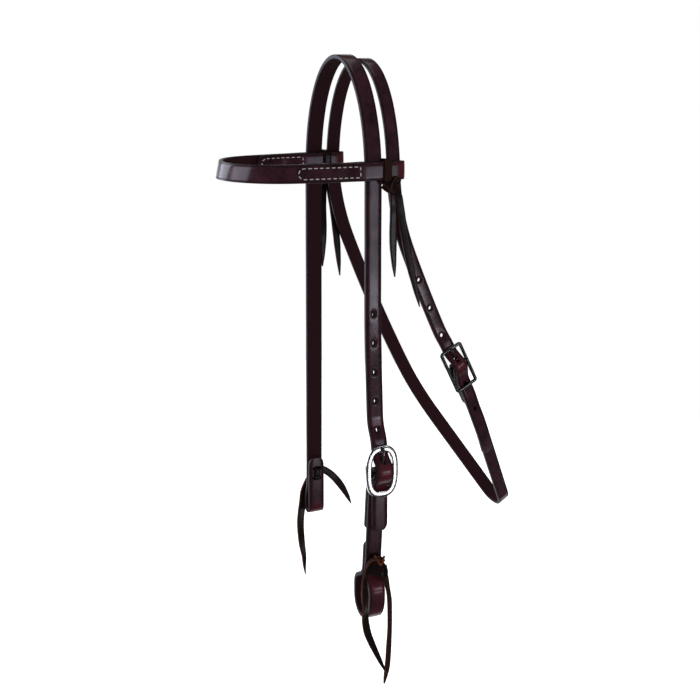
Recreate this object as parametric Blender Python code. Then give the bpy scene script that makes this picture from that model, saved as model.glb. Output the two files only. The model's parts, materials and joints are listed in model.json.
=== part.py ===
"""Western browband headstall: leather straps, two centre-bar buckles and four lace ties.

Metres, +Z up. The origin lies under the crown strap at the poll. -X points to the forehead,
and -Y is the near (left) side, where the two buckles are.
"""
import math

import bmesh
import bpy
from mathutils import Matrix, Vector

MM = 0.001
DEG = math.pi / 180
ACROSS = Vector((1, 0, 0))
UP = Vector((0, 0, 1))

# Leather
clearance = 0.3 * MM
crown_width = 15.2 * MM
crown_thickness = 3.8 * MM
cheek_width = crown_width
cheek_thickness = 3.8 * MM
throat_width = 12.4 * MM
throat_thickness = 3.0 * MM
band_width = 15.6 * MM
band_thickness = 3.6 * MM
strap_edge = 0.9 * MM
lace_width = 7.0 * MM
lace_thickness = 1.8 * MM
lace_edge = 0.45 * MM

# Head size: the straps' legs hang this far apart, and the arch rises from them to the poll
leg_spacing = 111.6 * MM
crown_arch_rise = 100 * MM
throat_arch_rise = 97 * MM
throat_set_back = 19.4 * MM
throat_arch_drop = 2.5 * MM

# Browband
band_height = 91.5 * MM
band_reach = 6.5 * MM
band_side_radius = 250 * MM
band_ease_radius = 80 * MM
near_band_fold_length = 98 * MM
off_band_fold_length = 86 * MM
band_turn_nest = 1.5 * MM
band_slack = 0.9 * MM
band_merge_length = 17 * MM

# Cheek buckle and the straps through it
cheek_buckle_drop = 351.7 * MM
cheek_frame_width = 30.2 * MM
cheek_frame_height = 46.4 * MM
cheek_rail_width = 4.0 * MM
cheek_rail_depth = 3.4 * MM
cheek_bar_diameter = 3.6 * MM
cheek_bar_setback = 1.0 * MM
cheek_tongue_diameter = 2.6 * MM
cheek_stand_out = 11 * MM
cheek_set_back = 3.3 * MM
cheek_set_back_run = 150 * MM
cheek_hole_width = 4.0 * MM
cheek_hole_length = 6.4 * MM
cheek_hole_pitch = 25.7 * MM
crown_billet_length = 60 * MM
crown_ease_run = 30 * MM

# Throatlatch buckle and the straps through it
throat_buckle_drop = 278 * MM
throat_frame_width = 23.0 * MM
throat_frame_height = 38.4 * MM
throat_rail_width = 2.7 * MM
throat_rail_depth = 2.7 * MM
throat_bar_diameter = 2.6 * MM
throat_bar_setback = 0.6 * MM
throat_tongue_diameter = 2.2 * MM
throat_hole_diameter = 3.9 * MM
throat_hole_pitch = 28.2 * MM
throat_billet_length = 84 * MM
throat_fold_length = 44 * MM
throat_ease_run = 24 * MM

# Throatlatch hang: it leans back below the browband and narrows to a round bottom
throat_lean_start = 86 * MM
throat_first_lean_run = 78 * MM
throat_second_lean_run = 210 * MM
throat_bottom_drop = 455 * MM
throat_ease_radius = 170 * MM
throat_bottom_radius = 14 * MM

# Cheek piece and bit loops
cheek_fold_length = 55 * MM
near_fold_drop = 421.5 * MM
near_tie_drop = 434.5 * MM
near_neck_drop = 444 * MM
near_loop_drop = 488 * MM
near_loop_width = 28.4 * MM
near_loop_outset = 8.6 * MM
near_loop_forward = 3.2 * MM
off_fold_drop = 369 * MM
off_tie_drop = 384 * MM
off_neck_drop = 396 * MM
off_loop_drop = 422 * MM
off_loop_gap = 4.8 * MM
tie_slot_pitch = 9.5 * MM

# Turning angles and counts
arc_step = 13 * DEG
wrap_angle = 50 * DEG
band_ease_angle = 8 * DEG
band_side_angle = 6 * DEG
band_front_lean = 14 * DEG
throat_first_lean = 22.5 * DEG
throat_second_lean = 8.5 * DEG
throat_inward = 20 * DEG
punch_tilt = 9 * DEG
crown_hole_count = 6
throat_hole_count = 5
# Strap ends: distance as a share of the end's length, then width share
rounded_end_shares = ((0, 0.52), (0.12, 0.72), (0.4, 0.9), (1, 1))
pointed_end_shares = ((0, 0.14), (0.35, 0.62), (1, 1))

leg_plane = leg_spacing / 2


class Route:
    """A line in a plane, drawn from straight runs and arcs; a positive angle turns left."""

    def __init__(self, u, v, heading):
        self.points = [Vector((u, v))]
        self.headings = [heading]
        self.heading = heading

    def straight(self, length, steps=1):
        start = self.points[-1]
        way = Vector((math.cos(self.heading), math.sin(self.heading)))
        for step in range(1, steps + 1):
            self.points.append(start + way * (length * step / steps))
            self.headings.append(self.heading)
        return self

    def turn(self, radius, angle, step_angle=arc_step):
        start = self.points[-1]
        side = math.copysign(1, angle)
        left = Vector((-math.sin(self.heading), math.cos(self.heading)))
        centre = start + left * (side * radius)
        steps = max(2, math.ceil(abs(angle) / step_angle))
        for step in range(1, steps + 1):
            turned = Matrix.Rotation(angle * step / steps, 2)
            self.points.append(centre + turned @ (start - centre))
            self.headings.append(self.heading + angle * step / steps)
        self.heading += angle
        return self

    def shift(self, offset, run):
        """Moves sideways over a run with two equal arcs; left is positive."""
        if abs(offset) < clearance * arc_step:
            return self.straight(run)
        angle = 2 * math.atan2(abs(offset), run)
        radius = run / (2 * math.sin(angle))
        side = math.copysign(1, offset)
        return self.turn(radius, side * angle).turn(radius, -side * angle)

    def straight_to_v(self, v):
        return self.straight((v - self.points[-1].y) / math.sin(self.heading))


class Station:
    """One cross-section of a strap: its centre, the direction across it and its width share."""

    def __init__(self, centre, across, share=1):
        self.centre = Vector(centre)
        self.across = Vector(across).normalized()
        self.share = share


def insert_stations(stations, distances):
    """Adds a station at each distance from the start, where there is none yet."""
    result = [stations[0]]
    travelled = 0
    wanted = sorted(distances)
    for before, after in zip(stations, stations[1:]):
        run = (after.centre - before.centre).length
        for distance in wanted:
            share = (distance - travelled) / run
            if 0.02 < share < 0.98:
                centre = before.centre.lerp(after.centre, share)
                result.append(Station(centre, before.across.lerp(after.across, share)))
        result.append(after)
        travelled += run
    return result


def end_width_share(distance, length, shares):
    for (near, near_share), (far, far_share) in zip(shares, shares[1:]):
        if distance <= far * length:
            part = (distance - near * length) / ((far - near) * length)
            return near_share + (far_share - near_share) * part
    return 1


def shape_end(stations, length, shares):
    """Narrows the start of a strap to an end shape, and gives the new list of stations."""
    stations = insert_stations(stations, [share * length for share, _ in shares[1:]])
    travelled = 0
    for index, station in enumerate(stations):
        if index:
            travelled += (station.centre - stations[index - 1].centre).length
        station.share *= end_width_share(travelled, length, shares)
    return stations


def shape_both_ends(stations, length, shares):
    stations = shape_end(stations, length, shares)
    return shape_end(stations[::-1], length, shares)[::-1]


def section_points(half_width, half_thickness, edge):
    """The corners of a strap's section, with bevelled edges."""
    edge = min(edge, half_width * 0.6)
    flat = half_width - edge
    wall = half_thickness - edge
    return [(-half_width, -wall), (-half_width, wall), (-flat, half_thickness),
            (flat, half_thickness), (half_width, wall), (half_width, -wall),
            (flat, -half_thickness), (-flat, -half_thickness)]


def strap_mesh(name, stations, width, thickness, edge, closed=False):
    """A strap of even thickness through its stations, as one closed mesh."""
    mesh = bmesh.new()
    rings = []
    count = len(stations)
    for index, station in enumerate(stations):
        before = stations[(index - 1) % count] if closed or index else station
        after = stations[(index + 1) % count] if closed or index < count - 1 else station
        along = (after.centre - before.centre).normalized()
        across = (station.across - along * station.across.dot(along)).normalized()
        out = along.cross(across)
        corners = section_points(width * station.share / 2, thickness / 2, edge)
        rings.append([mesh.verts.new(station.centre + across * u + out * v)
                      for u, v in corners])
    pairs = list(zip(rings, rings[1:]))
    if closed:
        pairs.append((rings[-1], rings[0]))
    for ring, following in pairs:
        for index in range(len(ring)):
            follow = (index + 1) % len(ring)
            mesh.faces.new((ring[index], ring[follow], following[follow], following[index]))
    if not closed:
        mesh.faces.new(rings[0])
        mesh.faces.new(rings[-1])
    bmesh.ops.recalc_face_normals(mesh, faces=mesh.faces)
    data = bpy.data.meshes.new(name)
    mesh.to_mesh(data)
    mesh.free()
    return data


def tube_mesh(name, points, radius, sides, side_hint=ACROSS, closed=False, squash=1):
    """A round bar along its points; squash flattens it along side_hint's normal."""
    mesh = bmesh.new()
    rings = []
    count = len(points)
    for index, point in enumerate(points):
        before = points[(index - 1) % count] if closed or index else point
        after = points[(index + 1) % count] if closed or index < count - 1 else point
        along = (after - before).normalized()
        across = (side_hint - along * side_hint.dot(along)).normalized()
        out = along.cross(across)
        ring = []
        for side in range(sides):
            angle = 2 * math.pi * (side + 0.5) / sides
            ring.append(mesh.verts.new(point + across * (radius * squash * math.cos(angle))
                                       + out * (radius * math.sin(angle))))
        rings.append(ring)
    pairs = list(zip(rings, rings[1:]))
    if closed:
        pairs.append((rings[-1], rings[0]))
    for ring, following in pairs:
        for side in range(sides):
            follow = (side + 1) % sides
            mesh.faces.new((ring[side], ring[follow], following[follow], following[side]))
    if not closed:
        mesh.faces.new(rings[0])
        mesh.faces.new(rings[-1])
    bmesh.ops.recalc_face_normals(mesh, faces=mesh.faces)
    data = bpy.data.meshes.new(name)
    mesh.to_mesh(data)
    mesh.free()
    return data


def make_material(name, colour, roughness, metallic=0):
    material = bpy.data.materials.new(name)
    material.use_nodes = True
    shader = material.node_tree.nodes["Principled BSDF"]
    shader.inputs["Base Color"].default_value = (*colour, 1)
    shader.inputs["Roughness"].default_value = roughness
    shader.inputs["Metallic"].default_value = metallic
    return material


def add_piece(name, data, material, parent=None, smooth_angle=35 * DEG):
    piece = bpy.data.objects.new(name, data)
    bpy.context.scene.collection.objects.link(piece)
    piece.data.materials.append(material)
    piece.data.shade_smooth()
    piece.data.set_sharp_from_angle(angle=smooth_angle)
    piece.parent = parent
    return piece


def add_guide(name, data, parent=None):
    """A shape that only cuts or joins another piece."""
    guide = bpy.data.objects.new(name, data)
    bpy.context.scene.collection.objects.link(guide)
    guide.hide_render = True
    guide.display_type = 'WIRE'
    guide.parent = parent
    return guide


def combine(piece, guide, operation):
    modifier = piece.modifiers.new(guide.name, 'BOOLEAN')
    modifier.operation = operation
    modifier.solver = 'EXACT'
    modifier.object = guide


def add_mount(name, location, lean=0):
    """An empty at a joint's axis; lean tips it back about the Y axis."""
    mount = bpy.data.objects.new(name, None)
    bpy.context.scene.collection.objects.link(mount)
    mount.location = location
    mount.rotation_euler = (0, -lean, 0)
    return mount


def prism_mesh(name, places, sides=14):
    """Straight punches: each place has a centre, a way through, a way along and three sizes."""
    mesh = bmesh.new()
    for centre, through, along, width, length, depth in places:
        across = along.cross(through).normalized()
        rings = []
        for end in (-0.5, 0.5):
            ring = []
            for side in range(sides):
                angle = 2 * math.pi * side / sides
                point = (centre + across * (width / 2 * math.cos(angle))
                         + along * (length / 2 * math.sin(angle)) + through * (depth * end))
                ring.append(mesh.verts.new(point))
            rings.append(ring)
        for side in range(sides):
            follow = (side + 1) % sides
            mesh.faces.new((rings[0][side], rings[0][follow], rings[1][follow], rings[1][side]))
        mesh.faces.new(rings[0])
        mesh.faces.new(rings[1])
    bmesh.ops.recalc_face_normals(mesh, faces=mesh.faces)
    data = bpy.data.meshes.new(name)
    mesh.to_mesh(data)
    mesh.free()
    return data


class Buckle:
    """Sizes of a centre-bar buckle and of the two straps that it joins.

    Places are given as (outward, up) from the bar's centre, in the plane across the bar.
    """

    def __init__(self, bar_diameter, bar_setback, rail_depth, tongue_diameter, billet, fold,
                 ease_radius):
        self.bar_radius = bar_diameter / 2
        self.rail_plane = bar_setback
        self.tongue_radius = tongue_diameter / 2
        self.fold_radius = self.bar_radius + clearance + fold / 2
        self.billet_radius = self.fold_radius + fold / 2 + clearance + billet / 2
        self.ease_radius = ease_radius
        self.rail_back = self.rail_plane - rail_depth / 2
        self.rail_front = self.rail_plane + rail_depth / 2
        self.billet_rest = self.rail_back - clearance - billet / 2
        self.main_rest = self.billet_rest - billet / 2 - clearance - fold / 2
        self.fold_rest = self.main_rest - fold - clearance
        self.eye_radius = self.bar_radius + clearance + self.tongue_radius

    def straight_part(self, radius, ease, rest):
        """Length of the slanting run between the wrap and the ease back to the rest plane."""
        drop = radius * math.cos(wrap_angle) - ease * (1 - math.cos(wrap_angle)) - rest
        return drop / math.sin(wrap_angle)

    def down_from_bar(self, radius, rest):
        """The outer half of a strap over the bar, from the bar's level down to its rest plane.

        The route starts at (radius, 0) and heads down.
        """
        ease = self.ease_radius + self.billet_radius - radius
        route = Route(radius, 0, -90 * DEG)
        route.turn(radius, -wrap_angle)
        route.straight(self.straight_part(radius, ease, rest))
        return route.turn(ease, wrap_angle)

    def fold_under_bar(self):
        """The inner half of the folded strap, from the bar's level down behind the main run."""
        route = Route(-self.fold_radius, 0, -90 * DEG)
        offset = -self.fold_radius - self.fold_rest
        angle = wrap_angle
        radius = self.ease_radius
        slant = (offset - 2 * radius * (1 - math.cos(angle))) / math.sin(angle)
        route.turn(radius, -angle).straight(slant)
        return route.turn(radius, angle)

    def over_bar(self):
        """Half a turn of the folded strap over the top of the bar, from inside to outside."""
        route = Route(-self.fold_radius, 0, 90 * DEG)
        return route.turn(self.fold_radius, -180 * DEG, 18 * DEG)


cheek_buckle = Buckle(cheek_bar_diameter, cheek_bar_setback, cheek_rail_depth,
                      cheek_tongue_diameter, crown_thickness, cheek_thickness,
                      cheek_bar_diameter + 2.4 * MM)
throat_buckle = Buckle(throat_bar_diameter, throat_bar_setback, throat_rail_depth,
                       throat_tongue_diameter, throat_thickness, throat_thickness,
                       throat_bar_diameter + 2.0 * MM)


def near_side(buckle_out, buckle_up, point):
    """From (outward, up) about a near-side bar to (Y, up)."""
    return Vector((-(buckle_out + point.x), buckle_up + point.y))


def crown_station(point):
    """A station of the crown strap from its (Y, up); the near leg hangs a little further back."""
    top = -cheek_buckle_drop + cheek_set_back_run
    share = min(max((top - point.y) / cheek_set_back_run, 0), 1) if point.x < 0 else 0
    eased = share * share * (3 - 2 * share)
    return Station((cheek_set_back * eased, point.x, point.y), ACROSS)


def arch_points(half_width, top, rise, steps=26):
    """Half an ellipse from the near side over the poll to the off side."""
    points = []
    for step in range(steps + 1):
        angle = math.pi * step / steps
        points.append(Vector((-half_width * math.cos(angle),
                              top - rise + rise * math.sin(angle))))
    return points


def hole_places(stations, distances, width, length, depth):
    """Punches square to a strap at these distances from the start of its stations."""
    places = []
    travelled = 0
    for before, after in zip(stations, stations[1:]):
        span = after.centre - before.centre
        for distance in distances:
            if travelled < distance <= travelled + span.length:
                centre = before.centre.lerp(after.centre, (distance - travelled) / span.length)
                along = span.normalized()
                across = (before.across - along * before.across.dot(along)).normalized()
                places.append((centre, along.cross(across), along, width, length, depth))
        travelled += span.length
    return places


def path_length(stations):
    return sum((after.centre - before.centre).length
               for before, after in zip(stations, stations[1:]))


def billet_points(buckle, ease_length):
    """The billet from its tip up over the bar, ending at rest behind the frame's top rail."""
    lower = buckle.down_from_bar(buckle.billet_radius, buckle.billet_rest)
    upper = [Vector((point.x, -point.y)) for point in lower.points]
    lower.straight_to_v(-ease_length)
    return lower.points[::-1] + upper[1:], upper[-1]


def crown_leg_route(start):
    """The near leg in (outward, up) from the cheek buckle to where the arch begins."""
    route = Route(start.x, start.y, 90 * DEG)
    route.shift(start.x - leg_plane, crown_ease_run)
    route.straight(cheek_set_back_run - crown_ease_run, 7)
    return route.straight_to_v(crown_thickness / 2 - crown_arch_rise)


def off_loop_route():
    """The off leg in (outward, up): down, round the bit and up behind itself."""
    route = Route(leg_plane, crown_thickness / 2 - crown_arch_rise, -90 * DEG)
    route.straight_to_v(-off_neck_drop)
    layer = crown_thickness + clearance
    opening = off_loop_gap + crown_thickness
    corner = crown_thickness * 0.75
    outset = (opening - layer) / 2
    ease = (off_loop_drop - off_neck_drop) / 2
    route.shift(outset, ease)
    route.straight_to_v(-off_loop_drop + corner)
    route.turn(corner, -90 * DEG, 30 * DEG).straight(opening - 2 * corner)
    route.turn(corner, -90 * DEG, 30 * DEG)
    route.straight_to_v(-off_neck_drop - ease)
    route.shift(-outset, ease)
    return route.straight_to_v(-off_fold_drop)


def build_crown_strap(material):
    bar_out = leg_plane + cheek_stand_out - cheek_bar_setback
    billet, rest = billet_points(cheek_buckle, crown_billet_length)
    near = [near_side(bar_out, -cheek_buckle_drop, point) for point in billet]
    leg = crown_leg_route(Vector((bar_out + rest.x, rest.y - cheek_buckle_drop)))
    near += [Vector((-point.x, point.y)) for point in leg.points[1:]]
    arch = arch_points(leg_plane, crown_thickness / 2, crown_arch_rise)
    off = off_loop_route()
    stations = [crown_station(point) for point in near + arch[1:-1] + off.points]
    stations = shape_both_ends(stations, crown_width * 0.55, rounded_end_shares)
    strap = add_piece("crown_strap", strap_mesh("crown_strap", stations, crown_width,
                                                crown_thickness, strap_edge), material)
    tongue_distance = tongue_hole_distance(cheek_buckle, crown_billet_length)
    distances = [tongue_distance + cheek_hole_pitch * index for index in range(crown_hole_count)]
    places = hole_places(stations, distances[1:], cheek_hole_width, cheek_hole_length,
                         crown_thickness * 3)
    bar = Vector((cheek_set_back, -bar_out, -cheek_buckle_drop))
    places.append(tongue_punch(cheek_buckle, bar, Matrix.Identity(3), cheek_hole_width,
                               cheek_hole_length, crown_thickness * 3))
    combine(strap, add_guide("crown_holes", prism_mesh("crown_holes", places)), 'DIFFERENCE')
    places = tie_slots(Vector((0, leg_plane - crown_thickness / 2, -off_tie_drop)),
                       crown_thickness)
    combine(strap, add_guide("off_tie_slots", prism_mesh("off_tie_slots", places)), 'DIFFERENCE')
    return strap


def tongue_crossing(buckle):
    """Where the tongue's shank meets the billet's middle, as (outward, up) from the bar."""
    slant = buckle.billet_radius * math.cos(wrap_angle) - buckle.eye_radius
    run = slant / math.sin(wrap_angle)
    up = buckle.billet_radius * math.sin(wrap_angle) + run * math.cos(wrap_angle)
    return Vector((buckle.eye_radius, up)), run


def tongue_hole_distance(buckle, billet_length):
    """Length along the billet from its tip to the hole that the tongue is in."""
    lower = billet_points(buckle, billet_length)[0]
    level = min(range(len(lower)), key=lambda index: abs(lower[index].y))
    below = sum((after - before).length
                for before, after in zip(lower[:level], lower[1:level + 1]))
    return below + buckle.billet_radius * wrap_angle + tongue_crossing(buckle)[1]


def tongue_punch(buckle, bar, turn, width, length, depth):
    """The hole round the tongue, pulled along its shank as worn leather is."""
    crossing, _ = tongue_crossing(buckle)
    centre = bar + turn @ Vector((0, -crossing.x, crossing.y))
    through = turn @ Vector((0, -math.sin(punch_tilt), math.cos(punch_tilt)))
    along = turn @ Vector((0, math.cos(punch_tilt), math.sin(punch_tilt)))
    return (centre, through, along, width, length, depth)


def tie_slots(centre, thickness):
    """Two slots through a folded strap end, one above the other."""
    height = lace_thickness * 1.7
    places = []
    for side in (-0.5, 0.5):
        middle = centre + UP * (side * tie_slot_pitch)
        places.append((middle, Vector((0, 1, 0)), UP, lace_width * 1.2, height, thickness * 5))
    return places


def cheek_route():
    """The cheek piece in (outward, up) about its bar, from the inner fold to the lower fold."""
    buckle = cheek_buckle
    layer = cheek_thickness + clearance
    inner = buckle.fold_under_bar()
    inner.straight_to_v(-cheek_fold_length)
    points = inner.points[::-1] + buckle.over_bar().points[1:]
    main = buckle.down_from_bar(buckle.fold_radius, buckle.main_rest)
    neck = cheek_buckle_drop - near_neck_drop
    ease = (near_loop_drop - near_neck_drop) * 0.46
    main.straight_to_v(neck)
    main.shift(near_loop_outset, ease)
    points += main.points[1:]
    half_width = near_loop_width / 2
    widest = points[-1]
    bottom = cheek_buckle_drop - near_loop_drop
    steps = 13
    for step in range(1, steps + 1):
        angle = math.pi * step / steps
        points.append(Vector((widest.x - half_width * (1 - math.cos(angle)),
                              widest.y - (widest.y - bottom) * math.sin(angle))))
    back = Route(points[-1].x, points[-1].y, 90 * DEG)
    back.shift(points[-1].x - (buckle.main_rest - layer), ease)
    back.straight_to_v(cheek_buckle_drop - near_fold_drop)
    return points + back.points[1:]


def cheek_lean(up):
    """How far back of its bar's middle the cheek piece hangs at a level below the bar."""
    run = near_neck_drop - cheek_buckle_drop
    return near_loop_forward * max(min(up / run, 0), -1)


def build_cheek_piece(material, mount):
    points = cheek_route()
    stations = [Station((cheek_lean(point.y), -point.x, point.y), ACROSS)
                for point in points]
    stations = shape_both_ends(stations, cheek_width * 0.3, rounded_end_shares)
    piece = add_piece("cheek_piece", strap_mesh("cheek_piece", stations, cheek_width,
                                                cheek_thickness, strap_edge), material, mount)
    slot = eye_slot("cheek_eye_slot", cheek_buckle, cheek_thickness)
    combine(piece, add_guide("cheek_eye_slot", slot, mount), 'DIFFERENCE')
    layer = cheek_thickness + clearance
    middle = -cheek_buckle.main_rest + layer / 2
    level = cheek_buckle_drop - near_tie_drop
    centre = Vector((cheek_lean(level), middle, level))
    places = tie_slots(centre, cheek_thickness)
    combine(piece, add_guide("near_tie_slots", prism_mesh("near_tie_slots", places), mount),
            'DIFFERENCE')
    return piece


def eye_slot(name, buckle, thickness):
    """The slot in a folded strap that lets the tongue's eye round the bar."""
    half_width = buckle.tongue_radius + 0.45 * MM
    outer = buckle.fold_radius + thickness
    low = -buckle.eye_radius - buckle.tongue_radius - clearance * 2
    mesh = bmesh.new()
    bmesh.ops.create_cube(mesh, size=1)
    inner = buckle.fold_rest - thickness
    for vertex in mesh.verts:
        vertex.co.x *= 2 * half_width
        vertex.co.y = -outer if vertex.co.y < 0 else -inner
        vertex.co.z = low if vertex.co.z < 0 else outer
    data = bpy.data.meshes.new(name)
    mesh.to_mesh(data)
    mesh.free()
    return data


def oval_points(half_width, half_height, power, steps=44):
    """A superellipse in the plane of a buckle's frame."""
    points = []
    for step in range(steps):
        angle = 2 * math.pi * (step + 0.5) / steps
        cosine, sine = math.cos(angle), math.sin(angle)
        points.append(Vector((math.copysign(abs(cosine) ** (2 / power), cosine) * half_width, 0,
                              math.copysign(abs(sine) ** (2 / power), sine) * half_height)))
    return points


def corner_points(half_width, half_height, radius, steps=4):
    """A rectangle with round corners in the plane of a buckle's frame."""
    points = []
    for quarter, (side, level) in enumerate(((1, 1), (-1, 1), (-1, -1), (1, -1))):
        for step in range(steps + 1):
            angle = (quarter + step / steps) * math.pi / 2
            points.append(Vector((side * (half_width - radius) + radius * math.cos(angle), 0,
                                  level * (half_height - radius) + radius * math.sin(angle))))
    return points


def frame_mesh(name, points, rail_width, rail_depth, plane):
    """A frame with softened rails round its closed centre line."""
    stations = []
    for index, point in enumerate(points):
        along = points[(index + 1) % len(points)] - points[index - 1]
        out = Vector((along.z, 0, -along.x)).normalized()
        stations.append(Station(point + Vector((0, -plane, 0)), out))
    return strap_mesh(name, stations, rail_width, rail_depth, rail_depth * 0.28, closed=True)


def build_buckle_frame(name, buckle, points, rail_width, rail_depth, bar_diameter, material,
                       mount):
    frame = add_piece(name, frame_mesh(name, points, rail_width, rail_depth,
                                       buckle.rail_plane), material, mount)
    reach = max(point.x for point in points)
    ends = [Vector((-reach, 0, 0)), Vector((reach, 0, 0))]
    bar = tube_mesh(name + "_bar", ends, bar_diameter / 2, 16, Vector((0, 1, 0)))
    combine(frame, add_guide(name + "_bar", bar, mount), 'UNION')
    return frame


def build_tongue(name, buckle, frame_height, material, mount):
    """A bent wire: an open eye round the bar, and a shank that rests on the top rail."""
    eye = buckle.eye_radius
    radius = buckle.tongue_radius
    route = Route(-eye * math.sin(15 * DEG), eye * math.cos(15 * DEG), 195 * DEG)
    route.turn(eye, 255 * DEG, 17 * DEG)
    rest_out = buckle.rail_front + clearance + radius
    rise = frame_height / 2 - radius
    route.straight(rise * 0.3)
    lift = eye - rest_out
    route.shift(lift, rise * 0.5)
    route.straight_to_v(frame_height / 2 + radius * 0.4)
    points = [Vector((0, -point.x, point.y)) for point in route.points]
    return add_piece(name, tube_mesh(name, points, radius, 10), material, mount)


def band_gap(share):
    """Distance between the browband's two layers: 1 round the straps, 0 where they are sewn."""
    sewn = band_thickness + clearance
    return sewn + (crown_thickness + clearance + band_slack) * share


def band_half_route():
    """The middle line between the layers, from the near loop's rear to the forehead."""
    rear = throat_set_back + throat_width / 2 - band_turn_nest
    front = -crown_width / 2 - band_thickness
    route = Route(rear, -leg_plane + band_slack / 2, 180 * DEG)
    route.straight(rear - front, 9).straight(band_merge_length, 5)
    route.turn(band_ease_radius, -band_ease_angle, 4 * DEG).straight(band_reach, 2)
    route.turn(band_side_radius, -band_side_angle, 2 * DEG)
    left = -route.points[-1].y
    heading = route.heading - 90 * DEG
    return route.turn(left / math.cos(90 * DEG - heading), -heading, 7 * DEG)


def band_layers(fold_length):
    """Outer and inner stations of the near half, from the loop's rear to the forehead."""
    route = band_half_route()
    merge_start = route.points[0].x + crown_width / 2 + band_thickness
    outer, inner = [], []
    travelled = 0
    total = sum((b - a).length for a, b in zip(route.points, route.points[1:]))
    for index, (point, heading) in enumerate(zip(route.points, route.headings)):
        if index:
            travelled += (point - route.points[index - 1]).length
        merged = min(1, max(0, (travelled - merge_start) / band_merge_length))
        gap = band_gap(0.5 + 0.5 * math.cos(math.pi * merged))
        inward = Vector((math.sin(heading), -math.cos(heading), 0))
        middle = Vector((point.x, point.y, -band_height))
        leaning = max(0, (travelled - near_band_fold_length) / (total - near_band_fold_length))
        lean = band_front_lean * (0.5 - 0.5 * math.cos(math.pi * leaning))
        across = UP * math.cos(lean) + inward * math.sin(lean)
        outer.append(Station(middle - inward * (gap / 2), across))
        if travelled <= fold_length:
            inner.append(Station(middle + inward * (gap / 2), across))
    return outer, inner, Vector((route.points[0].x, route.points[0].y, -band_height))


def mirrored(stations):
    """The same stations on the other side of the head."""
    return [Station((s.centre.x, -s.centre.y, s.centre.z),
                    (s.across.x, -s.across.y, s.across.z), s.share) for s in stations]


def build_browband(material):
    halves = []
    for fold_length in (near_band_fold_length, off_band_fold_length):
        outer, inner, rear = band_layers(fold_length)
        radius = band_gap(1) / 2
        turn = []
        steps = 9
        for step in range(1, steps):
            angle = math.pi * (0.5 - step / steps)
            offset = Vector((math.cos(angle), math.sin(angle), 0)) * radius
            turn.append(Station(rear + offset, UP))
        halves.append(inner[::-1] + turn + outer)
    stations = halves[0] + mirrored(halves[1])[-2::-1]
    stations = shape_both_ends(stations, band_width * 0.6, rounded_end_shares)
    return add_piece("browband", strap_mesh("browband", stations, band_width, band_thickness,
                                            strap_edge), material)


def lean_back(run):
    """Set-back, drop and lean of the throatlatch at a run below the start of its lean."""
    set_back, drop, lean = 0, 0, 0
    for length, angle in ((throat_first_lean_run, throat_first_lean),
                          (throat_second_lean_run, throat_second_lean)):
        radius = length / angle
        part = min(max(run, 0), length) / length * angle
        set_back += radius * (math.cos(lean) - math.cos(lean + part))
        drop += radius * (math.sin(lean + part) - math.sin(lean))
        lean += part
        run -= length
    beyond = max(run, 0)
    return set_back + beyond * math.sin(lean), drop + beyond * math.cos(lean), lean


def throat_place(outward, up):
    """A station of the throatlatch, from its (outward, up) along its own leaning face."""
    run = -throat_lean_start - up
    if run <= 0:
        return Station((throat_set_back, -outward, up), ACROSS)
    set_back, drop, lean = lean_back(run)
    centre = (throat_set_back + set_back, -outward, -throat_lean_start - drop)
    return Station(centre, (math.cos(lean), 0, math.sin(lean)))


def subdivided(points, longest):
    """The same line with no run longer than this."""
    result = [points[0]]
    for before, after in zip(points, points[1:]):
        steps = max(1, math.ceil((after - before).length / longest))
        result += [before.lerp(after, step / steps) for step in range(1, steps + 1)]
    return result


def throat_bar_out():
    return leg_plane - throat_buckle.main_rest


def hanging_end(points, ease_level, end_level):
    """Leads a strap's end down beside the throatlatch, and inward with it to its end."""
    route = Route(points[-1].x, points[-1].y, -90 * DEG)
    route.straight_to_v(ease_level)
    radius = throat_ease_radius + route.points[-1].x - leg_plane
    route.turn(radius, (end_level - ease_level) / radius, 3 * DEG)
    return points + route.points[1:]


def throat_points():
    """The throatlatch in (outward, up): buckle fold, throat, off side, poll and billet."""
    buckle = throat_buckle
    bar = Vector((throat_bar_out(), -throat_buckle_drop))
    main = buckle.down_from_bar(buckle.fold_radius, buckle.main_rest)
    closing = 90 * DEG - throat_inward
    eased = throat_ease_radius * (1 - math.cos(throat_inward))
    slant = leg_plane - eased - throat_bottom_radius * math.sin(closing)
    slant /= math.sin(throat_inward)
    depth = (throat_ease_radius * math.sin(throat_inward) + slant * math.cos(throat_inward)
             + throat_bottom_radius * (1 - math.cos(closing)))
    ease_level = depth - throat_bottom_drop
    inner = [bar + p for p in buckle.fold_under_bar().points]
    points = hanging_end(inner, ease_level, bar.y - throat_fold_length)[::-1]
    points += [bar + p for p in buckle.over_bar().points[1:] + main.points[1:]]
    loop = Route(points[-1].x, points[-1].y, -90 * DEG)
    loop.straight_to_v(ease_level)
    loop.turn(throat_ease_radius, -throat_inward, 3 * DEG).straight(slant)
    loop.turn(throat_bottom_radius, -closing).turn(throat_bottom_radius, -closing)
    loop.straight(slant).turn(throat_ease_radius, -throat_inward, 3 * DEG)
    arch_top = throat_thickness / 2 - throat_arch_drop
    loop.straight_to_v(arch_top - throat_arch_rise)
    points += loop.points[1:]
    points += arch_points(leg_plane, arch_top, throat_arch_rise)[1:]
    leg = Route(points[-1].x, points[-1].y, -90 * DEG)
    lower = buckle.down_from_bar(buckle.billet_radius, buckle.billet_rest)
    rest = lower.points[-1]
    leg.straight_to_v(bar.y - rest.y + throat_ease_run)
    leg.shift(bar.x + rest.x - leg_plane, throat_ease_run)
    upper = [bar + Vector((p.x, -p.y)) for p in lower.points]
    points += leg.points[1:] + upper[-2::-1]
    billet = [bar + p for p in lower.points]
    return points + hanging_end(billet, ease_level, bar.y - throat_billet_length)[1:]


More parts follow.
